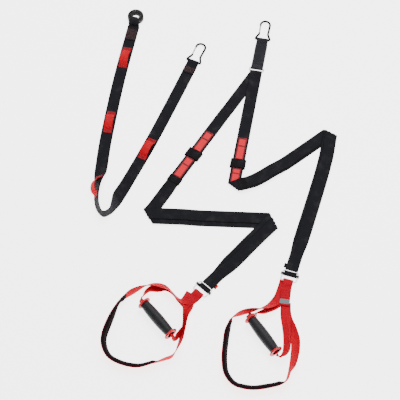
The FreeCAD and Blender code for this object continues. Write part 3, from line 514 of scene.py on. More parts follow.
def stitch_tool(material):
    """Geometry tree that turns each edge of a mesh into one sunken stitch of thread."""
    tree, tree_in, tree_out = new_group("stitches_" + material.name, [
        ("Geometry", "NodeSocketGeometry", None), ("Thread", "NodeSocketFloat", THREAD)],
        [("Geometry", "NodeSocketGeometry")], "GeometryNodeTree")
    lines = add_node(tree, "GeometryNodeMeshToCurve", {0: tree_in.outputs["Geometry"]})
    even = add_node(tree, "GeometryNodeResampleCurve", {"Curve": lines.outputs[0], "Count": 4})
    along = add_node(tree, "GeometryNodeSplineParameter")
    belly = math_node(tree, "SINE", math_node(tree, "ADD", math_node(
        tree, "MULTIPLY", along.outputs["Factor"], 2.3), 0.42))
    swollen = add_node(tree, "GeometryNodeSetCurveRadius", {"Curve": even.outputs[0], "Radius": math_node(
        tree, "MULTIPLY", belly, tree_in.outputs["Thread"])})
    profile = add_node(tree, "GeometryNodeCurvePrimitiveCircle", {"Resolution": 6, "Radius": 1.0})
    radius = add_node(tree, "GeometryNodeInputRadius")
    thread = add_node(tree, "GeometryNodeCurveToMesh",
                      {"Curve": swollen.outputs[0], "Profile Curve": profile.outputs[0],
                                                        "Scale": radius.outputs[0], "Fill Caps": True})
    real = add_node(tree, "GeometryNodeRealizeInstances", {0: thread.outputs[0]})
    dyed = add_node(tree, "GeometryNodeSetMaterial", {"Geometry": real.outputs[0], "Material": material})
    tree.links.new(dyed.outputs[0], tree_out.inputs[0])
    return tree


def thread_material(name, color):
    """Spun polyester sewing thread."""
    material = bpy.data.materials.new(name)
    material.use_nodes = True
    tree = material.node_tree
    shader = tree.nodes["Principled BSDF"]
    spot = add_node(tree, "ShaderNodeTexCoord")
    twist = add_node(tree, "ShaderNodeTexNoise", {"Vector": spot.outputs["Object"], "Scale": 1900.0})
    tone = add_node(tree, "ShaderNodeMix", {0: twist.outputs["Fac"],
                                            6: tuple(0.45 * c for c in color) + (1,),
                                            7: (*color, 1)}, data_type="RGBA")
    bump = add_node(tree, "ShaderNodeBump", {"Height": twist.outputs["Fac"], "Strength": 0.4,
                                             "Distance": 0.0002})
    tree.links.new(tone.outputs[2], shader.inputs["Base Color"])
    tree.links.new(bump.outputs[0], shader.inputs["Normal"])
    shader.inputs["Roughness"].default_value = 0.55
    shader.inputs["Sheen Weight"].default_value = 0.2
    return material


def sew(name, stitches, tool, body, thread=THREAD):
    """One piece of sewing from the two ends of each stitch."""
    ends = [end for stitch in stitches for end in stitch]
    mesh = bpy.data.meshes.new(name)
    mesh.from_pydata(ends, [(2 * k, 2 * k + 1) for k in range(len(stitches))], [])
    guide = new_piece(name + "_guide", mesh)
    modifier = guide.modifiers.new("stitches", "NODES")
    modifier.node_group = tool
    for item in tool.interface.items_tree:
        if item.name == "Thread":
            modifier[item.identifier] = thread
    bpy.context.view_layer.update()
    made = bpy.data.meshes.new_from_object(guide.evaluated_get(bpy.context.evaluated_depsgraph_get()))
    guide.modifiers.remove(modifier)
    bpy.data.objects.remove(guide)
    made.name = name
    piece = new_piece(name, made)
    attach(piece, body)
    return piece


def row_of_stitches(surface, start, end, stitch=2.6 * MM, gap=1.1 * MM):
    """Stitches one after another on a surface, between two places given as (along, across)."""
    start, end = Vector(start), Vector(end)
    long = (end - start).length
    count = max(1, int(long / (stitch + gap)))
    made = []
    for k in range(count):
        a = start.lerp(end, (k + 0.1) / count)
        b = start.lerp(end, (k + 0.1 + stitch / (stitch + gap)) / count)
        made.append((surface(a.x, a.y), surface(b.x, b.y)))
    return made


def zigzag(surface, start, end, reach, pitch=1.3 * MM):
    """Zigzag stitches along a line on a surface, reach wide."""
    start, end = Vector(start), Vector(end)
    way = (end - start).normalized()
    aside = Vector((-way.y, way.x)) * reach / 2
    count = max(2, int((end - start).length / pitch))
    spots = [start.lerp(end, k / count) + aside * (-1) ** k for k in range(count + 1)]
    return [(surface(a.x, a.y), surface(b.x, b.y)) for a, b in zip(spots, spots[1:])]


marker_red = webbing_material("marker_red", (1.0, 0.05, 0.075), (0.8, 0.012, 0.03), PATCH_WIDTH, 0.03, 0.03,
                              0.0011, 0.0013)
dark_red_thread = thread_material("dark_red_thread", (0.11, 0.002, 0.01))
dark_red_tool = stitch_tool(dark_red_thread)


def marker_patch(name, node, path, start, long, tail):
    """A marker on the leg's upper face, and its sewing."""
    def face(s, v, lift=0.0):
        top = LAYER_STEP / 2 * ease(s, tail - 15 * MM, tail + 20 * MM) + STRAP_THICKNESS / 2
        return on_stack(path, s, v, top + PATCH_THICKNESS / 2 + lift)

    mesh = webbing_mesh(name, face, long, PATCH_WIDTH, PATCH_THICKNESS, 3 * MM, start=start)
    patch = new_piece(name, mesh, marker_red)
    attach(patch, "straps")
    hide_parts(node)

    def sewn(s, v):
        return face(s, v, PATCH_THICKNESS / 2 + 0.1 * MM)
    edge = PATCH_WIDTH / 2 - PATCH_MARGIN
    end = start + long
    made = zigzag(sewn, (start + 1 * MM, edge), (end - 1 * MM, edge), 4.4 * MM)
    made += zigzag(sewn, (start + 1 * MM, -edge), (end - 1 * MM, -edge), 4.4 * MM)
    for place in (start + PATCH_MARGIN, start + 3.6 * MM, start + 0.36 * long, start + 0.39 * long,
                  end - 1.8 * MM):
        made += zigzag(sewn, (place, -edge + 2 * MM), (place, edge - 2 * MM), 2.8 * MM, 1.1 * MM)
    sew(name + "_stitches", made, dark_red_tool, "straps", PATCH_THREAD)


for side, path, marks in (("left", left_path, LEFT_MARKS), ("right", right_path, RIGHT_MARKS)):
    second = marks + PATCH_LENGTH + KEEPER_LENGTH
    room = (left_starts if side == "left" else right_starts)[1] - second - 17 * MM
    marker_patch(side + "_upper_marker", side + "_upper_patch", path, marks, PATCH_LENGTH,
                 marks + PATCH_LENGTH)
    marker_patch(side + "_lower_marker", side + "_lower_patch", path, second, min(PATCH_LENGTH, room),
                 marks + PATCH_LENGTH)

# --- Keepers and tail loops ----------------------------------------------------------------
# Woven bands around the doubled leg. The keeper slides between the two markers, and the
# tail loop is sewn on and holds the free end.
KEEPER_WALL = 1.5 * MM
KEEPER_HALF_WIDTH = 22.7 * MM
KEEPER_TOP = 5.3 * MM
TAIL_LOOP_HALF_WIDTH = 20.3 * MM
TAIL_LOOP_TOP = 2.9 * MM
BAND_UNDER = -2.9 * MM
keeper_webbing = webbing_material("keeper_webbing", (0.022, 0.02, 0.023), (0.005, 0.004, 0.005),
                                  KEEPER_LENGTH, 0.02,
                                  0.009, 0.0014, 0.0022)


def band_round(name, path, middle, half_width, low, high, length, wall, material):
    """Closed band around a strap, woven along its own way round."""
    corner_radius = 1.8 * MM
    outline = []
    for x, z, first in ((half_width, high, 0), (-half_width, high, 90), (-half_width, low, 180),
                        (half_width, low, 270)):
        x_in = x - math.copysign(corner_radius, x)
        z_in = z - corner_radius if z == high else z + corner_radius
        for k in range(5):
            turn = math.radians(first + 22.5 * k)
            outline.append((x_in + corner_radius * math.cos(turn), z_in + corner_radius * math.sin(turn)))
    middle_low = (0.0, low)
    outline = [middle_low, *outline[15:], *outline[:15], middle_low]
    rows, around = smooth_line(outline, 1.2 * MM)

    def place(s, v):
        side, height = row_at(rows, (s / around * (len(rows) - 1)) % (len(rows) - 1))
        return on_stack(path, middle + v, side, height)
    mesh = webbing_mesh(name, place, around - 0.2 * MM, length, wall, 1.5 * MM, 8)
    band = new_piece(name, mesh, material)
    return band, around


for side, path, marks in (("left", left_path, LEFT_MARKS), ("right", right_path, RIGHT_MARKS)):
    keeper, around = band_round(side + "_keeper_band", path, marks + PATCH_LENGTH + KEEPER_LENGTH / 2,
                                KEEPER_HALF_WIDTH, BAND_UNDER, KEEPER_TOP, KEEPER_LENGTH, KEEPER_WALL,
                                keeper_webbing)
    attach(keeper, side + "_keeper")
    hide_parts(side + "_keeper")
TAIL_LOOP_LENGTH = 24 * MM
left_tail_middle = LEFT_MARKS + 2 * PATCH_LENGTH + KEEPER_LENGTH + TAIL_LOOP_LENGTH / 2
right_tail_middle = right_starts[1] + 18 * MM + TAIL_LOOP_LENGTH / 2
for name, node, path, middle in (("left_tail_band", "left_tail_loop", left_path, left_tail_middle),
                                 ("right_tail_band", "right_tail_loop", right_path, right_tail_middle)):
    loop, around = band_round(name, path, middle, TAIL_LOOP_HALF_WIDTH, BAND_UNDER, TAIL_LOOP_TOP,
                              TAIL_LOOP_LENGTH, KEEPER_WALL,
                              keeper_webbing)
    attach(loop, "straps")
    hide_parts(node)

# --- Tail stops ----------------------------------------------------------------------------
# The strap's hidden end is rolled up and sewn, so that it cannot slip through the buckle.
# The roll shows as a small nub beside the strap above each buckle.
HANDLE_WIDTH = 30 * MM
TAIL_ROLL_LENGTH = 14 * MM
TAIL_ROLL_WALL = 0.7 * MM
handle_red = webbing_material("handle_red", (0.88, 0.003, 0.028), (0.42, 0.0, 0.011), HANDLE_WIDTH, 0.02,
                              0.015, 0.0011, 0.0014)
for side, material, slot_name in (("left", handle_red, "red_webbing"),
                                  ("right", black_webbing, "black_webbing")):
    low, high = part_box(side + "_tail_stop")
    middle = (low + high) / 2
    starts = left_starts if side == "left" else right_starts
    runs = LEFT_RUNS if side == "left" else RIGHT_RUNS
    way = heading(runs[-1][-2], runs[-1][-1])
    spiral = []
    for k in range(17):
        radius = 0.55 + 0.13 * k
        spiral.append((radius * 1.35 * math.cos(0.75 * k), radius * 0.78 * math.sin(0.75 * k)))
    rows, long = smooth_line([(x * MM, z * MM) for x, z in spiral], 0.4 * MM)

    def place(s, v):
        x, z = row_at(rows, min(max(s / long, 0.0), 1.0) * (len(rows) - 1))
        return middle + v * way + x * left_of(way) + Vector((0, 0, z))
    nub = new_piece(side + "_tail_roll", webbing_mesh(side + "_tail_roll", place, long, TAIL_ROLL_LENGTH,
                                                      TAIL_ROLL_WALL, 0.5 * MM, 8), material)
    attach(nub, "straps")
    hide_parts(side + "_tail_stop")

# --- Ring, carabiners and buckles ----------------------------------------------------------
# Bent steel rod: the ring and the two buckle frames are bright plated, the carabiners and
# the slide bars black coated. The turned gates are satin aluminium on steel pins.
wear, wear_in, wear_out = new_group("metal_wear", [
    ("Clean", "NodeSocketColor", (0.8, 0.8, 0.8, 1)), ("Worn", "NodeSocketColor", (0.4, 0.4, 0.4, 1)),
    ("Edge Wear", "NodeSocketFloat", 0.4), ("Gloss", "NodeSocketFloat", 0.2),
    ("Smudge", "NodeSocketFloat", 0.2)],
    [("Color", "NodeSocketColor"), ("Roughness", "NodeSocketFloat"), ("Height", "NodeSocketFloat")])
wear_at = add_node(wear, "ShaderNodeTexCoord")
rubbed = add_node(wear, "ShaderNodeTexNoise", {"Vector": wear_at.outputs["Object"], "Scale": 160.0,
                                               "Detail": 6.0})
scratch_way = add_node(wear, "ShaderNodeMapping", {"Vector": wear_at.outputs["Object"],
                                                   "Rotation": (0, 0, 0.9),
                                                   "Scale": (90.0, 1800.0, 900.0)})
scratches = add_node(wear, "ShaderNodeTexNoise", {"Vector": scratch_way.outputs[0], "Scale": 1.0,
                                                  "Detail": 3.0})
sharp = add_node(wear, "ShaderNodeNewGeometry")
edge_mask = add_node(wear, "ShaderNodeMapRange", {"Value": math_node(wear, "ADD",
                                                                     sharp.outputs["Pointiness"], math_node(
    wear, "MULTIPLY", rubbed.outputs["Fac"], 0.08)), "From Min": 0.555, "From Max": 0.6,
    "To Max": wear_in.outputs["Edge Wear"]})
fine_mask = add_node(wear, "ShaderNodeMapRange", {"Value": scratches.outputs["Fac"], "From Min": 0.62,
                                                  "From Max": 0.75,
                                                  "To Max": wear_in.outputs["Edge Wear"]})
worn_share = math_node(wear, "MAXIMUM", edge_mask.outputs[0],
                       math_node(wear, "MULTIPLY", fine_mask.outputs[0], 0.35))
metal_tone = add_node(wear, "ShaderNodeMix", {0: worn_share, 6: wear_in.outputs["Clean"],
                                              7: wear_in.outputs["Worn"]},
                      data_type="RGBA")
wear.links.new(metal_tone.outputs[2], wear_out.inputs["Color"])
wear.links.new(math_node(wear, "ADD", wear_in.outputs["Gloss"], math_node(
    wear, "MULTIPLY", rubbed.outputs["Fac"], wear_in.outputs["Smudge"])), wear_out.inputs["Roughness"])
wear.links.new(math_node(wear, "ADD", scratches.outputs["Fac"], math_node(
    wear, "MULTIPLY", rubbed.outputs["Fac"], 0.6)), wear_out.inputs["Height"])


def hard_material(name, clean, worn, edge, gloss, smudge, metallic, bump=0.06, coat=0.0, gleam=0.3):
    """Metal or moulded finish that is rubbed on its edges."""
    material = bpy.data.materials.new(name)
    material.use_nodes = True
    tree = material.node_tree
    shader = tree.nodes["Principled BSDF"]
    group = add_node(tree, "ShaderNodeGroup", node_tree=wear)
    for key, value in (("Clean", (*clean, 1)), ("Worn", (*worn, 1)), ("Edge Wear", edge), ("Gloss", gloss),
                       ("Smudge", smudge)):
        group.inputs[key].default_value = value
    relief = add_node(tree, "ShaderNodeBump", {"Height": group.outputs["Height"], "Strength": bump,
                                               "Distance": 0.0002})
    tree.links.new(group.outputs["Color"], shader.inputs["Base Color"])
    tree.links.new(group.outputs["Roughness"], shader.inputs["Roughness"])
    tree.links.new(relief.outputs[0], shader.inputs["Normal"])
    shader.inputs["Metallic"].default_value = metallic
    shader.inputs["Coat Weight"].default_value = coat
    shader.inputs["Specular IOR Level"].default_value = gleam
    return material


def finish_nodes(material, *nodes):
    """Gives CAD nodes their finish."""
    for node in nodes:
        mesh = frame["nodes"][node].data
        mesh.materials.clear()
        mesh.materials.append(material)


plated = hard_material("bright_plating", (0.78, 0.78, 0.8), (0.5, 0.5, 0.52), 0.3, 0.07, 0.12, 1.0)
black_coat = hard_material("black_coating", (0.005, 0.005, 0.006), (0.07, 0.07, 0.075), 0.35, 0.42, 0.2,
                           0.0, 0.1,
                           gleam=0.1)
satin_alloy = hard_material("satin_alloy", (0.5, 0.51, 0.53), (0.7, 0.7, 0.71), 0.3, 0.26, 0.15, 1.0, 0.1)
spring_wire = hard_material("spring_wire", (0.5, 0.5, 0.52), (0.7, 0.7, 0.7), 0.2, 0.2, 0.15, 1.0)
bar_coat = hard_material("bar_coating", (0.006, 0.006, 0.007), (0.12, 0.12, 0.125), 0.4, 0.4, 0.2, 0.0,
                         0.12,
                         gleam=0.12)
finish_nodes(plated, "y_ring", "left_buckle_frame", "right_buckle_frame")
finish_nodes(bar_coat, "left_slide_bar", "right_slide_bar")
for side in ("main", "anchor"):
    finish_nodes(black_coat, side + "_carabiner")
    finish_nodes(satin_alloy, side + "_gate", side + "_gate_pin", side + "_gate_plunger")
    finish_nodes(spring_wire, side + "_gate_spring")

# --- Hanger --------------------------------------------------------------------------------
# The short strap between the ring and the main carabiner is one piece of webbing, passed
# round both bars and sewn to itself along its whole length.
charcoal_webbing = webbing_material("charcoal_webbing", (0.045, 0.045, 0.054), (0.013, 0.013, 0.016),
                                    STRAP_WIDTH,
                                    0.03, 0.015, 0.0013, 0.0019)
black_thread = thread_material("black_thread", (0.05, 0.05, 0.055))
black_tool = stitch_tool(black_thread)


def along_profile(origin, way, rows, long, width_at=None):
    """Surface of a strap whose side view is given as rows of distance and height."""
    def place(s, v):
        x, z = row_at(rows, s / long * (len(rows) - 1))
        wide = width_at(x) if width_at else 1.0
        return Vector((origin.x, origin.y, z)) + x * way + v * wide * left_of(way)
    return place


def bar_turn(x, z, radius, first, last, step):
    """Points around a bar, between two angles in degrees."""
    count = max(2, round(abs(last - first) / step))
    turns = [math.radians(first + (last - first) * k / count) for k in range(count + 1)]
    return [(x + radius * math.cos(t), z + radius * math.sin(t)) for t in turns]


upper_bar = Vector(joints["hanger_tilt"]["pos_m"])
hook_bar = Vector(joints["main_carabiner_tilt"]["pos_m"])
hanger_way = heading(upper_bar, hook_bar)
hook_far = math.hypot(hook_bar.x - upper_bar.x, hook_bar.y - upper_bar.y) / MM
hanger_side = [(30, 1.25), (16, 1.6), (7, 2.7), *bar_turn(0, 7.0, 3.75, 270, 100, 24), (8, 9.0), (17, 4.6),
               (26, 3.35),
               (hook_far - 25, 3.35), (hook_far - 15, 4.6), (hook_far - 8, 8.0),
               *bar_turn(hook_far, 5.75, 4.5, 100, -90, 24), (hook_far - 8, 1.25), (60, 1.2), (31, 1.2)]
hanger_rows, hanger_long = smooth_line([(x * MM, z * MM) for x, z in hanger_side], 0.9 * MM)


def hanger_width(x):
    """Share of the full width, a little narrower in the carabiner."""
    return 1 - 0.07 * ease(x, (hook_far - 25) * MM, (hook_far - 5) * MM)


hanger_place = along_profile(upper_bar, hanger_way, hanger_rows, hanger_long, hanger_width)
hanger = new_piece("hanger_strap", webbing_mesh("hanger_strap", hanger_place, hanger_long, STRAP_WIDTH,
                                                STRAP_THICKNESS,
                                                1.6 * MM), charcoal_webbing)
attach(hanger, "hanger")
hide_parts("hanger_webbing")


def hanger_top(x, v):
    """Upper face of the hanger."""
    near = min(hanger_rows, key=lambda row: abs(row[0] - x) - (0.5 if row[1] > 2.6 * MM else 0.0))
    middle = Vector((upper_bar.x, upper_bar.y, near[1] + 1.12 * MM)) + x * hanger_way
    return middle + v * hanger_width(x) * left_of(hanger_way)


hanger_sewing = []
for v in (-15.5 * MM, 15.5 * MM):
    hanger_sewing += row_of_stitches(hanger_top, (22 * MM, v), (94 * MM, v))
for x in (22, 26, 30, 90, 94):
    hanger_sewing += row_of_stitches(hanger_top, (x * MM, -15 * MM), (x * MM, 15 * MM))
sew("hanger_stitches", hanger_sewing, black_tool, "hanger")

# --- Anchor strap --------------------------------------------------------------------------
# A single length of the same black webbing. Its upper end is a narrow hoop sewn through the
# door stop, it turns round on its edge, and its other end is sewn around the carabiner.


def ribbon_path(rows, step=4 * MM):
    """Middle surface of webbing along rows of x, y, z, lean, fold and width share."""
    fine, long = smooth_line(rows, step)
    last = len(fine) - 1

    def spot(k):
        return Vector(fine[min(max(k, 0), last)][:3])

    def place(s, v):
        share = s / long * last
        k = min(max(int(math.floor(share)), 0), last - 1)
        part = share - k
        behind = (spot(k + 1) - spot(k - 1)).normalized()
        ahead = (spot(k + 2) - spot(k)).normalized()
        way = behind * (1 - part) + ahead * part
        if not 0 <= part <= 1:
            way = spot(k + 1) - spot(k)
        way.normalize()
        point = spot(k) + (spot(k + 1) - spot(k)) * part
        blend = min(max(part, 0.0), 1.0)
        lean, fold, wide = (fine[k][d] + (fine[k + 1][d] - fine[k][d]) * blend for d in (3, 4, 5))
        left = left_of(heading(Vector(), way))
        up = way.cross(left).normalized()
        turn = math.radians(lean + fold * math.tanh(v / (2.5 * MM)))
        return point + v * wide * (math.cos(turn) * left + math.sin(turn) * up)
    return place, long


def standing(points, half_width):
    """Ribbon rows of a strap on one edge, from x, y, lean and perhaps lift, fold and width share."""
    rows = []
    for x, y, lean, *rest in points:
        lift, fold, wide = (*rest, *(0.0, 0.0, 1.0)[len(rest):])
        tilt = math.radians(abs(lean))
        z = half_width * wide * math.sin(tilt) + (1.0 + lift) * MM
        rows.append((*at(x, y)[:2], z, lean, fold, wide))
    return rows


ANCHOR_LINE = [(-264, 605, 0), (-294, 457, 0), (-311, 364, 0), (-334, 215, 0), (-341, 165, 0),
               (-346, 118, 0),
               (-349, 84, 2), (-352, 55, 12), (-355, 28, 40), (-358, 0, 58), (-360, -38, 66),
               (-354, -74, 76),
               (-338, -97, 90), (-319, -88, 88), (-306, -62, 62), (-294, -28, 24), (-275, 13, 3),
               (-204, 160, 0),
               (-135, 317, 0), (-90, 423, 0)]
anchor_bar = Vector(joints["anchor_carabiner_tilt"]["pos_m"])
anchor_run, anchor_run_length = ribbon_path(standing(ANCHOR_LINE, STRAP_WIDTH / 2))
anchor_end = anchor_run(anchor_run_length, 0.0)
anchor_way = heading(anchor_end, anchor_bar)
anchor_left_over = math.hypot(anchor_bar.x - anchor_end.x, anchor_bar.y - anchor_end.y) / MM
eye_side = [(-anchor_left_over, 1.0), (-26, 1.0), (-12, 1.02), (-5, 1.1),
            *bar_turn(0, 5.75, 4.6, -80, 110, 24),
            (-8, 8.6), (-15, 5.0), (-22, 3.3), (-36, 3.1), (-46, 3.1)]
eye_rows, eye_long = smooth_line([(x * MM, z * MM) for x, z in eye_side], 0.9 * MM)


def eye_width(x):
    """Share of the full width, a little narrower in the carabiner."""
    return 1 - 0.08 * ease(x, -24 * MM, -6 * MM)


anchor_eye = along_profile(anchor_bar, anchor_way, eye_rows, eye_long, eye_width)


def anchor_place(s, v):
    """The whole anchor strap, from the door stop to its sewn end at the carabiner."""
    return anchor_run(s, v) if s < anchor_run_length else anchor_eye(s - anchor_run_length, v)


anchor_long = anchor_run_length + eye_long
anchor_strap = new_piece("anchor_strap_webbing", webbing_mesh(
    "anchor_strap_webbing", anchor_place, anchor_long, STRAP_WIDTH, STRAP_THICKNESS, 3 * MM), black_webbing)
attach(anchor_strap, "anchor_strap")
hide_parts("anchor_webbing")
HOOP_WIDTH = 18 * MM
SEWN_TOP = 4.25 * MM
stop_low, stop_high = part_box("door_stop")
stop_middle = (stop_low + stop_high) / 2
stop_way = heading(at(-263, 610), at(-294, 457))
hoop_at = at(-263, 610)
hoop_side = [(4, 1.05), (-12, 1.05), *bar_turn(-16.2, 4.0, 2.95, 270, 180, 30), (-19.15, 10),
             *bar_turn(-16.2, 18.6, 2.95, 180, 90, 30), (-8, 21.6), *bar_turn(-2.0, 18.6, 2.95, 90, 0, 30),
             (1.0, 12),
             *bar_turn(4.4, 6.6, 3.4, 180, 265, 22), (12, 3.15), (62, 3.1)]
hoop_rows, hoop_long = smooth_line([(x * MM, z * MM) for x, z in hoop_side], 1.2 * MM)


def hoop_width(x):
    """Gathered narrow in the door stop's bore, and nearly full width over its wall and below."""
    return 1 + 0.98 * ease(x, -13 * MM, 3 * MM)


door_hoop = new_piece("door_hoop", webbing_mesh("door_hoop",
                                                along_profile(hoop_at, stop_way, hoop_rows, hoop_long,
                      hoop_width), hoop_long, HOOP_WIDTH, STRAP_THICKNESS, 1.4 * MM), black_webbing)
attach(door_hoop, "anchor_strap")
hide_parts("anchor_webbing")
rust_thread = thread_material("rust_thread", (0.13, 0.022, 0.02))
rust_tool = stitch_tool(rust_thread)


def hoop_top(x, v):
    """Upper face of the sewn end of the hoop."""
    return Vector((hoop_at.x, hoop_at.y, SEWN_TOP)) + x * stop_way + v * left_of(stop_way)


def eye_top(x, v):
    """Upper face of the sewn end behind the carabiner."""
    return Vector((anchor_bar.x, anchor_bar.y, SEWN_TOP)) - x * anchor_way + v * left_of(anchor_way)


anchor_sewing = []
for top, first, last in ((hoop_top, 20, 58), (eye_top, 24, 44)):
    for x in range(first, last, 5):
        anchor_sewing += zigzag(top, (x * MM, -14 * MM), (x * MM, 14 * MM), 3.4 * MM, 1.8 * MM)
    for v in (-14.6, 14.6):
        anchor_sewing += row_of_stitches(top, (first * MM, v * MM), (last * MM, v * MM))
sew("anchor_stitches", anchor_sewing, rust_tool, "anchor_strap")

# --- Door stop -----------------------------------------------------------------------------
# A thick ring cut from speckled cellular rubber, with its edges rounded by wear.
STOP_RADIUS = 25.5 * MM
STOP_BORE = 12 * MM
STOP_EDGE = 2.6 * MM
stop_rubber = bpy.data.materials.new("speckled_rubber")
stop_rubber.use_nodes = True
rubber_tree = stop_rubber.node_tree
rubber_shader = rubber_tree.nodes["Principled BSDF"]
rubber_at = add_node(rubber_tree, "ShaderNodeTexCoord")
crumbs = add_node(rubber_tree, "ShaderNodeTexVoronoi",
                  {"Vector": rubber_at.outputs["Object"], "Scale": 520.0})
pores = add_node(rubber_tree, "ShaderNodeTexNoise",
                 {"Vector": rubber_at.outputs["Object"], "Scale": 900.0, "Detail": 4.0})
crumb_tone = add_node(rubber_tree, "ShaderNodeSeparateColor", {0: crumbs.outputs["Color"]})
crumb_mask = add_node(rubber_tree, "ShaderNodeMapRange", {"Value": crumb_tone.outputs[0], "From Min": 0.55,
                                                          "From Max": 0.95})
rubber_mix = add_node(rubber_tree, "ShaderNodeMix", {0: crumb_mask.outputs[0], 6: (0.007, 0.0065, 0.007, 1),
                                                     7: (0.075, 0.07, 0.072, 1)}, data_type="RGBA")
rubber_bump = add_node(rubber_tree, "ShaderNodeBump", {"Height": math_node(
    rubber_tree, "ADD", pores.outputs["Fac"], crumbs.outputs["Distance"]), "Strength": 0.6,
                                                       "Distance": 0.0006})
rubber_tree.links.new(rubber_mix.outputs[2], rubber_shader.inputs["Base Color"])
rubber_tree.links.new(rubber_bump.outputs[0], rubber_shader.inputs["Normal"])
rubber_tree.links.new(math_node(rubber_tree, "ADD",
                                math_node(rubber_tree, "MULTIPLY", pores.outputs["Fac"], 0.3), 0.6),
                      rubber_shader.inputs["Roughness"])
rubber_shader.inputs["Specular IOR Level"].default_value = 0.12


def turned_mesh(name, outline, centre, axis, segments=72):
    """Closed turned body from its section's outline, as (distance along the axis, radius)."""
    axis = Vector(axis).normalized()
    first = axis.orthogonal().normalized()
    second = axis.cross(first)
    mesh = bmesh.new()
    uv_layer = mesh.loops.layers.uv.new("weave")
    rings = []
    for k in range(segments):
        turn = math.tau * k / segments
        out = math.cos(turn) * first + math.sin(turn) * second
        rings.append([mesh.verts.new(centre + x * axis + r * out) for x, r in outline])
    marks = [0.0]
    for a, b in zip(outline, outline[1:] + outline[:1]):
        marks.append(marks[-1] + math.dist(a, b))
    size = len(outline)
    for k in range(segments):
        for j in range(size):
            i = (j + 1) % size
            face = mesh.faces.new((rings[k][j], rings[k][i], rings[(k + 1) % segments][i],
                                   rings[(k + 1) % segments][j]))
            face.smooth = True
            for loop, uv in zip(face.loops, ((k, marks[j]), (k, marks[j + 1]), (k + 1, marks[j + 1]),
                                             (k + 1, marks[j]))):
                loop[uv_layer].uv = (uv[0] / segments, uv[1])
    bmesh.ops.recalc_face_normals(mesh, faces=mesh.faces)
    data = bpy.data.meshes.new(name)
    mesh.to_mesh(data)
    mesh.free()
    return data


def rounded_outline(x_low, x_high, r_low, r_high, edge):
    """Outline of a thick wall with rounded edges."""
    outline = []
    corners = ((x_high, r_high, 0), (x_low, r_high, 90), (x_low, r_low, 180), (x_high, r_low, 270))
    for x, r, first in corners:
        x_in = x - edge if x == x_high else x + edge
        r_in = r - edge if r == r_high else r + edge
        for k in range(6):
            turn = math.radians(first + 90 * k / 5)
            outline.append((x_in + edge * math.cos(turn), r_in + edge * math.sin(turn)))
    dense = []
    for a, b in zip(outline, outline[1:] + outline[:1]):
        count = max(1, round(math.dist(a, b) / ((x_high - x_low) / 10)))
        dense += [tuple(p + (q - p) * k / count for p, q in zip(a, b)) for k in range(count)]
    return dense


door_stop = new_piece("door_stop_ring", turned_mesh("door_stop_ring", rounded_outline(
    stop_low.z, stop_high.z, STOP_BORE, STOP_RADIUS, STOP_EDGE), Vector((stop_middle.x, stop_middle.y, 0)),
                                                    (0, 0, 1), 96),
    stop_rubber)
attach(door_stop, "anchor_strap")
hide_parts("door_stop")

# --- Length loops --------------------------------------------------------------------------
# Four red loops sewn on the anchor strap. Each is a short webbing with its two ends sewn
# down by dense zigzags, and stands up in an arch that the carabiner clips in.
LOOP_WIDTH = 26 * MM
LOOP_THICKNESS = 1.6 * MM
LOOP_REACH = 25 * MM
LOOP_END = 14 * MM
LOOP_RISE = 15 * MM
LOOP_THREAD = 0.46 * MM
loop_red = webbing_material("loop_red", (0.9, 0.006, 0.025), (0.4, 0.001, 0.008), LOOP_WIDTH, 0.03, 0.03,
                            0.0012, 0.0016)
loop_side = [(-LOOP_REACH - LOOP_END, 0.8 * MM), (-LOOP_REACH - 4 * MM, 0.85 * MM)]
loop_side += [(LOOP_REACH * math.cos(math.radians(a)), 0.8 * MM + LOOP_RISE * math.sin(math.radians(a)))
              for a in range(165, 14, -15)]
loop_side += [(LOOP_REACH + 4 * MM, 0.85 * MM), (LOOP_REACH + LOOP_END, 0.8 * MM)]
loop_rows, loop_long = smooth_line(loop_side, 1.2 * MM)


def nearest_on(place, long, point):
    """How far along a strap the place nearest to a point is."""
    return min((long * k / 900 for k in range(901)), key=lambda s: (place(s, 0.0) - point).length)


for number, (x, y, z) in enumerate(((-289, 482, 1), (-332, 238, 1), (-361, 0, 19), (-213, 140, 1)), 1):
    name = f"length_loop_{number}"
    middle = nearest_on(anchor_run, anchor_run_length, at(x, y, z))

    def loop_place(s, v):
        x, z = row_at(loop_rows, s / loop_long * (len(loop_rows) - 1))
        return on_stack(anchor_run, middle + x, v, STRAP_THICKNESS / 2 + 0.06 * MM + z)

    def loop_top(x, v):
        return on_stack(anchor_run, middle + x, v, STRAP_THICKNESS / 2 + LOOP_THICKNESS + 0.18 * MM)
    loop = new_piece(name + "_webbing", webbing_mesh(name + "_webbing", loop_place, loop_long, LOOP_WIDTH,
                                                     LOOP_THICKNESS, 1.6 * MM), loop_red)
    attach(loop, "anchor_strap")
    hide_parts(name)
    sewing = []
    for side in (-1, 1):
        for reach in (0.5, 3.2, 5.9, 8.6, 11.3):
            mark = side * (LOOP_REACH + (LOOP_END - reach * MM - 1 * MM))
            sewing += zigzag(loop_top, (mark, -LOOP_WIDTH / 2 + 2 * MM), (mark, LOOP_WIDTH / 2 - 2 * MM),
                             2.6 * MM,
                             1.7 * MM)
    sew(name + "_stitches", sewing, dark_red_tool, "anchor_strap", LOOP_THREAD)

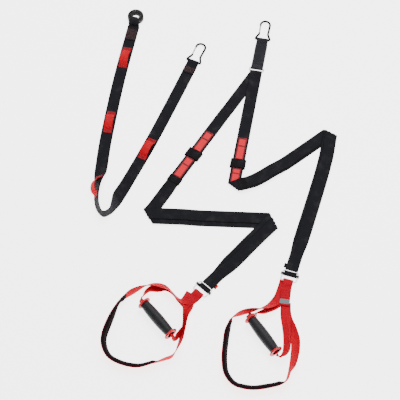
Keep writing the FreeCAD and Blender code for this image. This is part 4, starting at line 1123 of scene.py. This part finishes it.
# --- Tabs ----------------------------------------------------------------------------------
# Where a handle hangs on its buckle, 30 mm red webbing goes twice around the frame's base
# bar and is sewn flat in four layers, with rows of dark thread and a V below them.
HANDLE_THICKNESS = 2.0 * MM
TAB_LENGTHS = {"left": 62 * MM, "right": 80 * MM}
TAB_TAPER = 16 * MM
FRAME_BASE_FROM_BAR = 21 * MM
TAB_LEAD = 8 * MM
TAB_TOP = 8.42 * MM
TAB_THREAD = 0.4 * MM
tab_red = webbing_material("tab_red", (0.86, 0.004, 0.03), (0.40, 0.0, 0.011), HANDLE_WIDTH, 0.02, 0.018,
                           0.0011, 0.0014)
tab_inner_side = [(16, 3.3), (8, 3.6), *bar_turn(0, 7.5, 3.6, 262, 98, 23), (9, 9.0), (17, 5.4)]
tab_outer_side = [(16, 1.22), (6, 1.6), *bar_turn(0, 7.5, 5.65, 262, 98, 20), (8.5, 11.6), (17, 7.7)]
tab_runs = {}
for side, end, turn in (("left", at(-41, -337), -139), ("right", at(210, -294), -98)):
    runs = LEFT_RUNS if side == "left" else RIGHT_RUNS
    way = heading(runs[-1][-2], runs[-1][-1])
    bend_way = Vector((math.cos(math.radians(turn)), math.sin(math.radians(turn)), 0))
    bar = end + FRAME_BASE_FROM_BAR * way
    knee = bar + TAB_TAPER * way
    line = [bar - TAB_LEAD * way, bar, bar + TAB_LEAD * way]
    line += [knee + step * MM * bend_way for step in (0, 8, 30, 80)]
    far = TAB_LENGTHS[side] / MM
    tab_run = ribbon_path([(p.x, p.y, 0.0, 0.0, 0.0, 1.0) for p in line], 3 * MM)[0]
    tab_runs[side] = tab_run
    for layer, profile in (("inner", [(far - 2, 3.25), (30, 3.25), *tab_inner_side, (30, 5.3),
                                      (far - 3, 5.3)]),
                           ("outer", [(far, 1.2), (30, 1.2), *tab_outer_side, (26, 7.3),
                                      (far - 0.5, 7.3)])):
        rows, long = smooth_line([(x * MM, z * MM) for x, z in profile], 1.0 * MM)

        def place(s, v):
            x, z = row_at(rows, s / long * (len(rows) - 1))
            return tab_run(TAB_LEAD + x, v) + Vector((0, 0, z))
        name = f"{side}_tab_{layer}"
        tab_piece = new_piece(name, webbing_mesh(name, place, long, HANDLE_WIDTH, HANDLE_THICKNESS,
                                                 1.6 * MM), tab_red)
        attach(tab_piece, side + "_handle")
        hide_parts(side + "_tab")

    def tab_top(x, v):
        return tab_run(TAB_LEAD + x, v) + Vector((0, 0, TAB_TOP))
    sewing = []
    marks = (19, 22, 30, 38, 46, 54, 77) if side == "right" else (19, 22, 28, 34, 40, 46)
    for x in marks:
        sewing += row_of_stitches(tab_top, (x * MM, -13 * MM), (x * MM, 13 * MM))
    for v in (-13, 13):
        sewing += row_of_stitches(tab_top, (18 * MM, v * MM), ((far - 2) * MM, v * MM))
    sew(side + "_tab_stitches", sewing, dark_red_tool, side + "_handle", TAB_THREAD)

# --- Label ---------------------------------------------------------------------------------
# A small blank satin label across the right tab, folded under at its ends and sewn around.
LABEL_LENGTH = 15 * MM
LABEL_WIDTH = 29 * MM
LABEL_THICKNESS = 0.5 * MM
LABEL_LEVEL = 8.62 * MM
LABEL_THREAD = 0.26 * MM
label_cloth = webbing_material("label_satin", (0.34, 0.40, 0.42), (0.16, 0.19, 0.2), LABEL_WIDTH, 0.1, 0.18,
                               0.00035,
                               0.0005)
label_start = TAB_LENGTHS["right"] - LABEL_LENGTH - 6 * MM


def label_place(s, v):
    """Middle surface of the label, with a slight pillow between its seams."""
    lift = 0.25 * MM * math.sin(math.pi * min(max((s - label_start) / LABEL_LENGTH, 0.0), 1.0))
    return tab_runs["right"](TAB_LEAD + s, v) + Vector((0, 0, LABEL_LEVEL + lift))


label = new_piece("right_label_cloth", webbing_mesh("right_label_cloth", label_place, LABEL_LENGTH,
                                                    LABEL_WIDTH,
                                                    LABEL_THICKNESS, 1.2 * MM, start=label_start),
                  label_cloth)
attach(label, "right_handle")
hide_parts("right_label")
grey_thread = thread_material("grey_thread", (0.5, 0.55, 0.56))
grey_tool = stitch_tool(grey_thread)


def label_top(s, v):
    """Upper face of the label."""
    return label_place(label_start + s, v) + Vector((0, 0, 0.34 * MM))


label_sewing = []
label_corners = [(1.4 * MM, -13.4 * MM), (13.6 * MM, -13.4 * MM), (1.4 * MM, 13.4 * MM),
                 (13.6 * MM, 13.4 * MM)]
for a, b in ((0, 2), (1, 3), (0, 1), (2, 3)):
    label_sewing += row_of_stitches(label_top, label_corners[a], label_corners[b], 1.7 * MM, 0.8 * MM)
sew("label_stitches", label_sewing, grey_tool, "right_handle", LABEL_THREAD)

# --- Hand and foot webbing -----------------------------------------------------------------
# From the tab one webbing goes through the grip and back for the hand, and a wider loop
# stands on its edge for the foot. Both are 30 mm red webbing that leans and twists freely.
LEFT_HAND = [(-80, -363, 0, 2.1), (-91, -376, 8, 2.0), (-104, -381, 40, 1), (-120, -368, 62),
             (-137, -352, 60),
    (-156, -338, 24), (-178, -335, 14), (-197, -344, 34), (-210, -361, 66)]
LEFT_HAND_BACK = [(-106, -479, 78), (-99, -467, 84), (-97, -442, 84), (-95, -416, 70), (-90, -393, 30, 1.0),
    (-80, -372, 0, 2.1)]
RIGHT_HAND = [(194, -327, 0, 2.1), (182, -363, 0, 2.1), (167, -388, 12, 1), (147, -405, 34),
              (126, -415, 44),
    (110, -420, 62)]
RIGHT_HAND_BACK = [(170, -554, -70), (184, -552, -56, 0, 10), (194, -539, -46, 0, 18),
                   (198, -517, -42, 0, 22),
    (199, -486, -40, 0, 22), (197, -457, -30, 0, 16), (194, -424, -8, 1.0), (195, -391, 0, 2.1)]
LEFT_FOOT = [(-77, -349, 0), (-94, -376, 10), (-106, -381, 40), (-120, -368, 62), (-137, -349, 61),
             (-158, -332, 42),
    (-180, -327, 46), (-201, -330, 60), (-227, -341, 88), (-250, -354, 99), (-269, -369, 86),
             (-285, -381, 70),
    (-306, -435, 110), (-324, -494, 115), (-322, -525, 117), (-307, -554, 120), (-281, -571, 124),
             (-230, -584, 124),
    (-191, -577, 114), (-149, -562, 98), (-130, -554, 97), (-119, -538, 103), (-106, -505, 116),
             (-98, -468, 116),
    (-92, -432, 122), (-85, -395, 168, 1), (-80, -370, 180, 4.1)]
RIGHT_FOOT = [(196, -307, 0), (186, -339, 0), (174, -368, 0), (151, -393, 34), (126, -404, 60),
              (92, -412, 92),
    (63, -421, 92), (37, -437, 70), (26, -473, 110), (19, -519, 114), (16, -571, 116), (23, -610, 120),
    (44, -637, 125), (71, -647, 127), (99, -650, 127), (138, -645, 126), (174, -636, 120), (190, -626, 108),
    (198, -606, 106), (208, -582, 128), (218, -532, 146), (219, -501, 148), (211, -469, 152),
              (199, -436, 166),
    (195, -411, 176, 2), (195, -383, 180, 4.1)]
GRIPS = {"left": (at(-213, -388), at(-132, -490)), "right": (at(93, -437), at(163, -543))}
GRIP_AXIS_HEIGHT = 20.7 * MM
foot_runs = {}
for side, hand, back, foot in (("left", LEFT_HAND, LEFT_HAND_BACK, LEFT_FOOT),
                               ("right", RIGHT_HAND, RIGHT_HAND_BACK, RIGHT_FOOT)):
    first, last = GRIPS[side]
    way = heading(first, last)
    rows = standing(hand, HANDLE_WIDTH / 2)
    finish = back[0][2]
    for end, steps in ((first, (-13, -6, 6, 30)), (last, (-30, -6, 6, 13))):
        for step in steps:
            spot = end + step * MM * way
            mouth = abs(step) == 13
            lean = 72 if end == first else finish
            drop, wide = (3 * MM, 0.84) if mouth else (0.0, 0.58)
            rows.append((spot.x, spot.y, GRIP_AXIS_HEIGHT - drop, lean, 0.0, wide))
    rows += standing(back, HANDLE_WIDTH / 2)
    hand_run, hand_long = ribbon_path(rows)
    name = side + "_hand_strap"
    hand_strap = new_piece(name, webbing_mesh(name, hand_run, hand_long, HANDLE_WIDTH, HANDLE_THICKNESS,
                                              3 * MM, 8),
                           handle_red)
    foot_run, foot_long = ribbon_path(standing(foot, HANDLE_WIDTH / 2))
    foot_runs[side] = (foot_run, foot_long)
    foot_name = side + "_foot_strap"
    foot_strap = new_piece(foot_name, webbing_mesh(foot_name, foot_run, foot_long, HANDLE_WIDTH,
                                                   HANDLE_THICKNESS,
                                                   3 * MM, 8), handle_red)
    for piece, node, long in ((hand_strap, "_hand_webbing", hand_long),
                              (foot_strap, "_foot_webbing", foot_long)):
        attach(piece, side + "_handle")
        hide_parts(side + node)

# --- Foot pads -----------------------------------------------------------------------------
# A soft pad along the inside of each foot loop: foam in a black knitted cover, bound to the
# webbing by a dark red edge and quilted by one line of stitches along its middle.
PAD_THICKNESS = 7 * MM
PAD_HEIGHT = 27 * MM
PAD_COLUMNS = 14
PAD_TAPER = 14 * MM
PAD_THREAD = 0.5 * MM
knit = bpy.data.materials.new("black_knit")
knit.use_nodes = True
knit_tree = knit.node_tree
knit_shader = knit_tree.nodes["Principled BSDF"]
knit_uv = add_node(knit_tree, "ShaderNodeUVMap", uv_map="weave")
knit_scale = add_node(knit_tree, "ShaderNodeMapping",
                      {"Vector": knit_uv.outputs[0], "Scale": (640.0, 820.0, 1.0)})
knit_cell = add_node(knit_tree, "ShaderNodeTexVoronoi", {"Vector": knit_scale.outputs[0], "Scale": 1.0})
knit_fuzz = add_node(knit_tree, "ShaderNodeTexNoise",
                     {"Vector": knit_uv.outputs[0], "Scale": 1500.0, "Detail": 3.0})
# Painted shade: darker in the hollows between the knit's loops and lighter on their crowns, mixed with
# random fuzz tone.
knit_shade_and_fuzz = add_node(knit_tree, "ShaderNodeMix", {0: math_node(knit_tree, "MULTIPLY",
                                                               knit_cell.outputs["Distance"],
                     knit_fuzz.outputs["Fac"]), 6: (0.013, 0.006, 0.008, 1), 7: (0.004, 0.002, 0.003, 1)},
                     data_type="RGBA")
knit_bump = add_node(knit_tree, "ShaderNodeBump", {"Height": math_node(knit_tree, "ADD",
                                                                       knit_cell.outputs["Distance"],
                     math_node(knit_tree, "MULTIPLY", knit_fuzz.outputs["Fac"], 0.5)), "Strength": 0.6,
                     "Distance": 0.0005}, invert=True)
knit_tree.links.new(knit_shade_and_fuzz.outputs[2], knit_shader.inputs["Base Color"])
knit_tree.links.new(knit_bump.outputs[0], knit_shader.inputs["Normal"])
knit_tree.links.new(math_node(knit_tree, "ADD", math_node(knit_tree, "MULTIPLY", knit_fuzz.outputs["Fac"],
                                                          0.2), 0.7),
                    knit_shader.inputs["Roughness"])
knit_shader.inputs["Sheen Weight"].default_value = 0.03
knit_shader.inputs["Specular IOR Level"].default_value = 0.04
PAD_SPANS = {"left": (0.285, 0.715), "right": (0.262, 0.690)}


def pad_mesh(name, run, start, end):
    """Closed pad on a webbing's inner face, drawn in at its middle seam and tapered at its ends."""
    mesh = bmesh.new()
    uv_layer = mesh.loops.layers.uv.new("weave")
    count = round((end - start) / (2.4 * MM))
    section = []
    for k in range(PAD_COLUMNS + 1):
        share = -0.5 + k / PAD_COLUMNS
        crown = (1 - abs(2 * share) ** 3.2) * 0.92 + 0.08
        seam = 0.30 * math.exp(-(share * PAD_HEIGHT / (1.6 * MM)) ** 2)
        section.append((share * PAD_HEIGHT, PAD_THICKNESS * (crown - seam)))
    rings = []
    for i in range(count + 1):
        s = start + (end - start) * i / count
        fade = ease(s, start, start + PAD_TAPER) * (1 - ease(s, end - PAD_TAPER, end))
        puff = 0.16 + 0.84 * fade + 0.04 * math.sin(s / (9 * MM)) * fade
        wide = 0.86 + 0.14 * fade
        base = -HANDLE_THICKNESS / 2 - 0.1 * MM
        top = [mesh.verts.new(on_stack(run, s, v * wide, base - 0.05 * MM - h * puff)) for v, h in section]
        low = [mesh.verts.new(on_stack(run, s, v * wide, base)) for v, h in section]
        rings.append((top + low[::-1], s))
    size = len(rings[0][0])
    around = [0.0]
    for a, b in zip(rings[count // 2][0], rings[count // 2][0][1:] + rings[count // 2][0][:1]):
        around.append(around[-1] + (a.co - b.co).length)
    for (ring, s), (following, s_next) in zip(rings, rings[1:]):
        for j in range(size):
            i = (j + 1) % size
            face = mesh.faces.new((ring[j], following[j], following[i], ring[i]))
            face.smooth = True
            uvs = ((s, around[j]), (s_next, around[j]), (s_next, around[j + 1]), (s, around[j + 1]))
            for loop, uv in zip(face.loops, uvs):
                loop[uv_layer].uv = uv
    for ring, flip in ((rings[0][0], False), (rings[-1][0], True)):
        half = size // 2
        for j in range(half - 1):
            corners = [ring[j], ring[j + 1], ring[size - 2 - j], ring[size - 1 - j]]
            face = mesh.faces.new(corners[::-1] if flip else corners)
            face.smooth = True
    bmesh.ops.recalc_face_normals(mesh, faces=mesh.faces)
    data = bpy.data.meshes.new(name)
    mesh.to_mesh(data)
    mesh.free()
    return data


for side in ("left", "right"):
    run, long = foot_runs[side]
    start, end = (share * long for share in PAD_SPANS[side])
    pad = new_piece(side + "_foot_cushion", pad_mesh(side + "_foot_cushion", run, start, end), knit)
    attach(pad, side + "_handle")
    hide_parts(side + "_foot_pad")

    def pad_edge(s, v):
        return on_stack(run, s, v, -HANDLE_THICKNESS / 2 - 0.3 * MM)
    binding = []
    for v in (-13.9, 13.9):
        binding += zigzag(pad_edge, (start, v * MM), (end, v * MM), 2.2 * MM, 1.9 * MM)
    sew(side + "_pad_binding", binding, dark_red_tool, side + "_handle", PAD_THREAD)

# --- Grips ---------------------------------------------------------------------------------
# A barrel of closed-cell foam on a stiff black tube, between two moulded red flanges. It
# turns freely on the webbing that runs through the tube.
GRIP_LENGTH = 118 * MM
GRIP_END_RADIUS = 13.5 * MM
GRIP_MIDDLE_RADIUS = 16.5 * MM
GRIP_TUBE_RADIUS = 12.25 * MM
foam = bpy.data.materials.new("grip_foam")
foam.use_nodes = True
foam_tree = foam.node_tree
foam_shader = foam_tree.nodes["Principled BSDF"]
foam_at = add_node(foam_tree, "ShaderNodeTexCoord")
foam_cells = add_node(foam_tree, "ShaderNodeTexVoronoi",
                      {"Vector": foam_at.outputs["Object"], "Scale": 900.0})
foam_patina = add_node(foam_tree, "ShaderNodeTexNoise", {"Vector": foam_at.outputs["Object"], "Scale": 70.0,
                                                         "Detail": 5.0})
foam_tone = add_node(foam_tree, "ShaderNodeMix", {0: foam_patina.outputs["Fac"],
                                                  6: (0.007, 0.007, 0.009, 1),
                                                  7: (0.022, 0.023, 0.026, 1)}, data_type="RGBA")
foam_bump = add_node(foam_tree, "ShaderNodeBump", {"Height": math_node(
    foam_tree, "ADD", foam_cells.outputs["Distance"], math_node(foam_tree, "MULTIPLY",
                                                                foam_patina.outputs["Fac"], 2.0)),
    "Strength": 0.35, "Distance": 0.0004})
foam_tree.links.new(foam_tone.outputs[2], foam_shader.inputs["Base Color"])
foam_tree.links.new(foam_bump.outputs[0], foam_shader.inputs["Normal"])
foam_tree.links.new(math_node(foam_tree, "ADD", math_node(foam_tree, "MULTIPLY", foam_patina.outputs["Fac"],
                                                          0.25), 0.38),
                    foam_shader.inputs["Roughness"])
foam_shader.inputs["Sheen Weight"].default_value = 0.04
foam_shader.inputs["Specular IOR Level"].default_value = 0.2
tube_plastic = hard_material("tube_plastic", (0.02, 0.02, 0.022), (0.08, 0.08, 0.08), 0.3, 0.4, 0.2, 0.0)
flange_red = hard_material("flange_red", (0.62, 0.001, 0.014), (0.8, 0.06, 0.07), 0.3, 0.34, 0.2, 0.0, 0.1,
                           0.05)
for side in ("left", "right"):
    first, last = GRIPS[side]
    axis = heading(first, last)
    middle = (first + last) / 2 + Vector((0, 0, GRIP_AXIS_HEIGHT))
    outline = []
    half = GRIP_LENGTH / 2
    for k in range(41):
        x = half - GRIP_LENGTH * k / 40
        share = abs(x) / half
        radius = GRIP_MIDDLE_RADIUS - (GRIP_MIDDLE_RADIUS - GRIP_END_RADIUS) * share ** 2
        radius -= 1.2 * MM * max(0.0, (share - 0.965) / 0.035) ** 2
        outline.append((x * (1 - 0.004), radius))
    outline += [(-half + 0.3 * MM, GRIP_TUBE_RADIUS), (half - 0.3 * MM, GRIP_TUBE_RADIUS)]
    sleeve = new_piece(side + "_grip_foam", turned_mesh(side + "_grip_foam", outline, middle, axis, 64),
                       foam)
    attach(sleeve, side + "_grip")
    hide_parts(side + "_grip_sleeve")
    finish_nodes(tube_plastic, side + "_grip_tube")
    finish_nodes(flange_red, side + "_upper_flange", side + "_lower_flange")
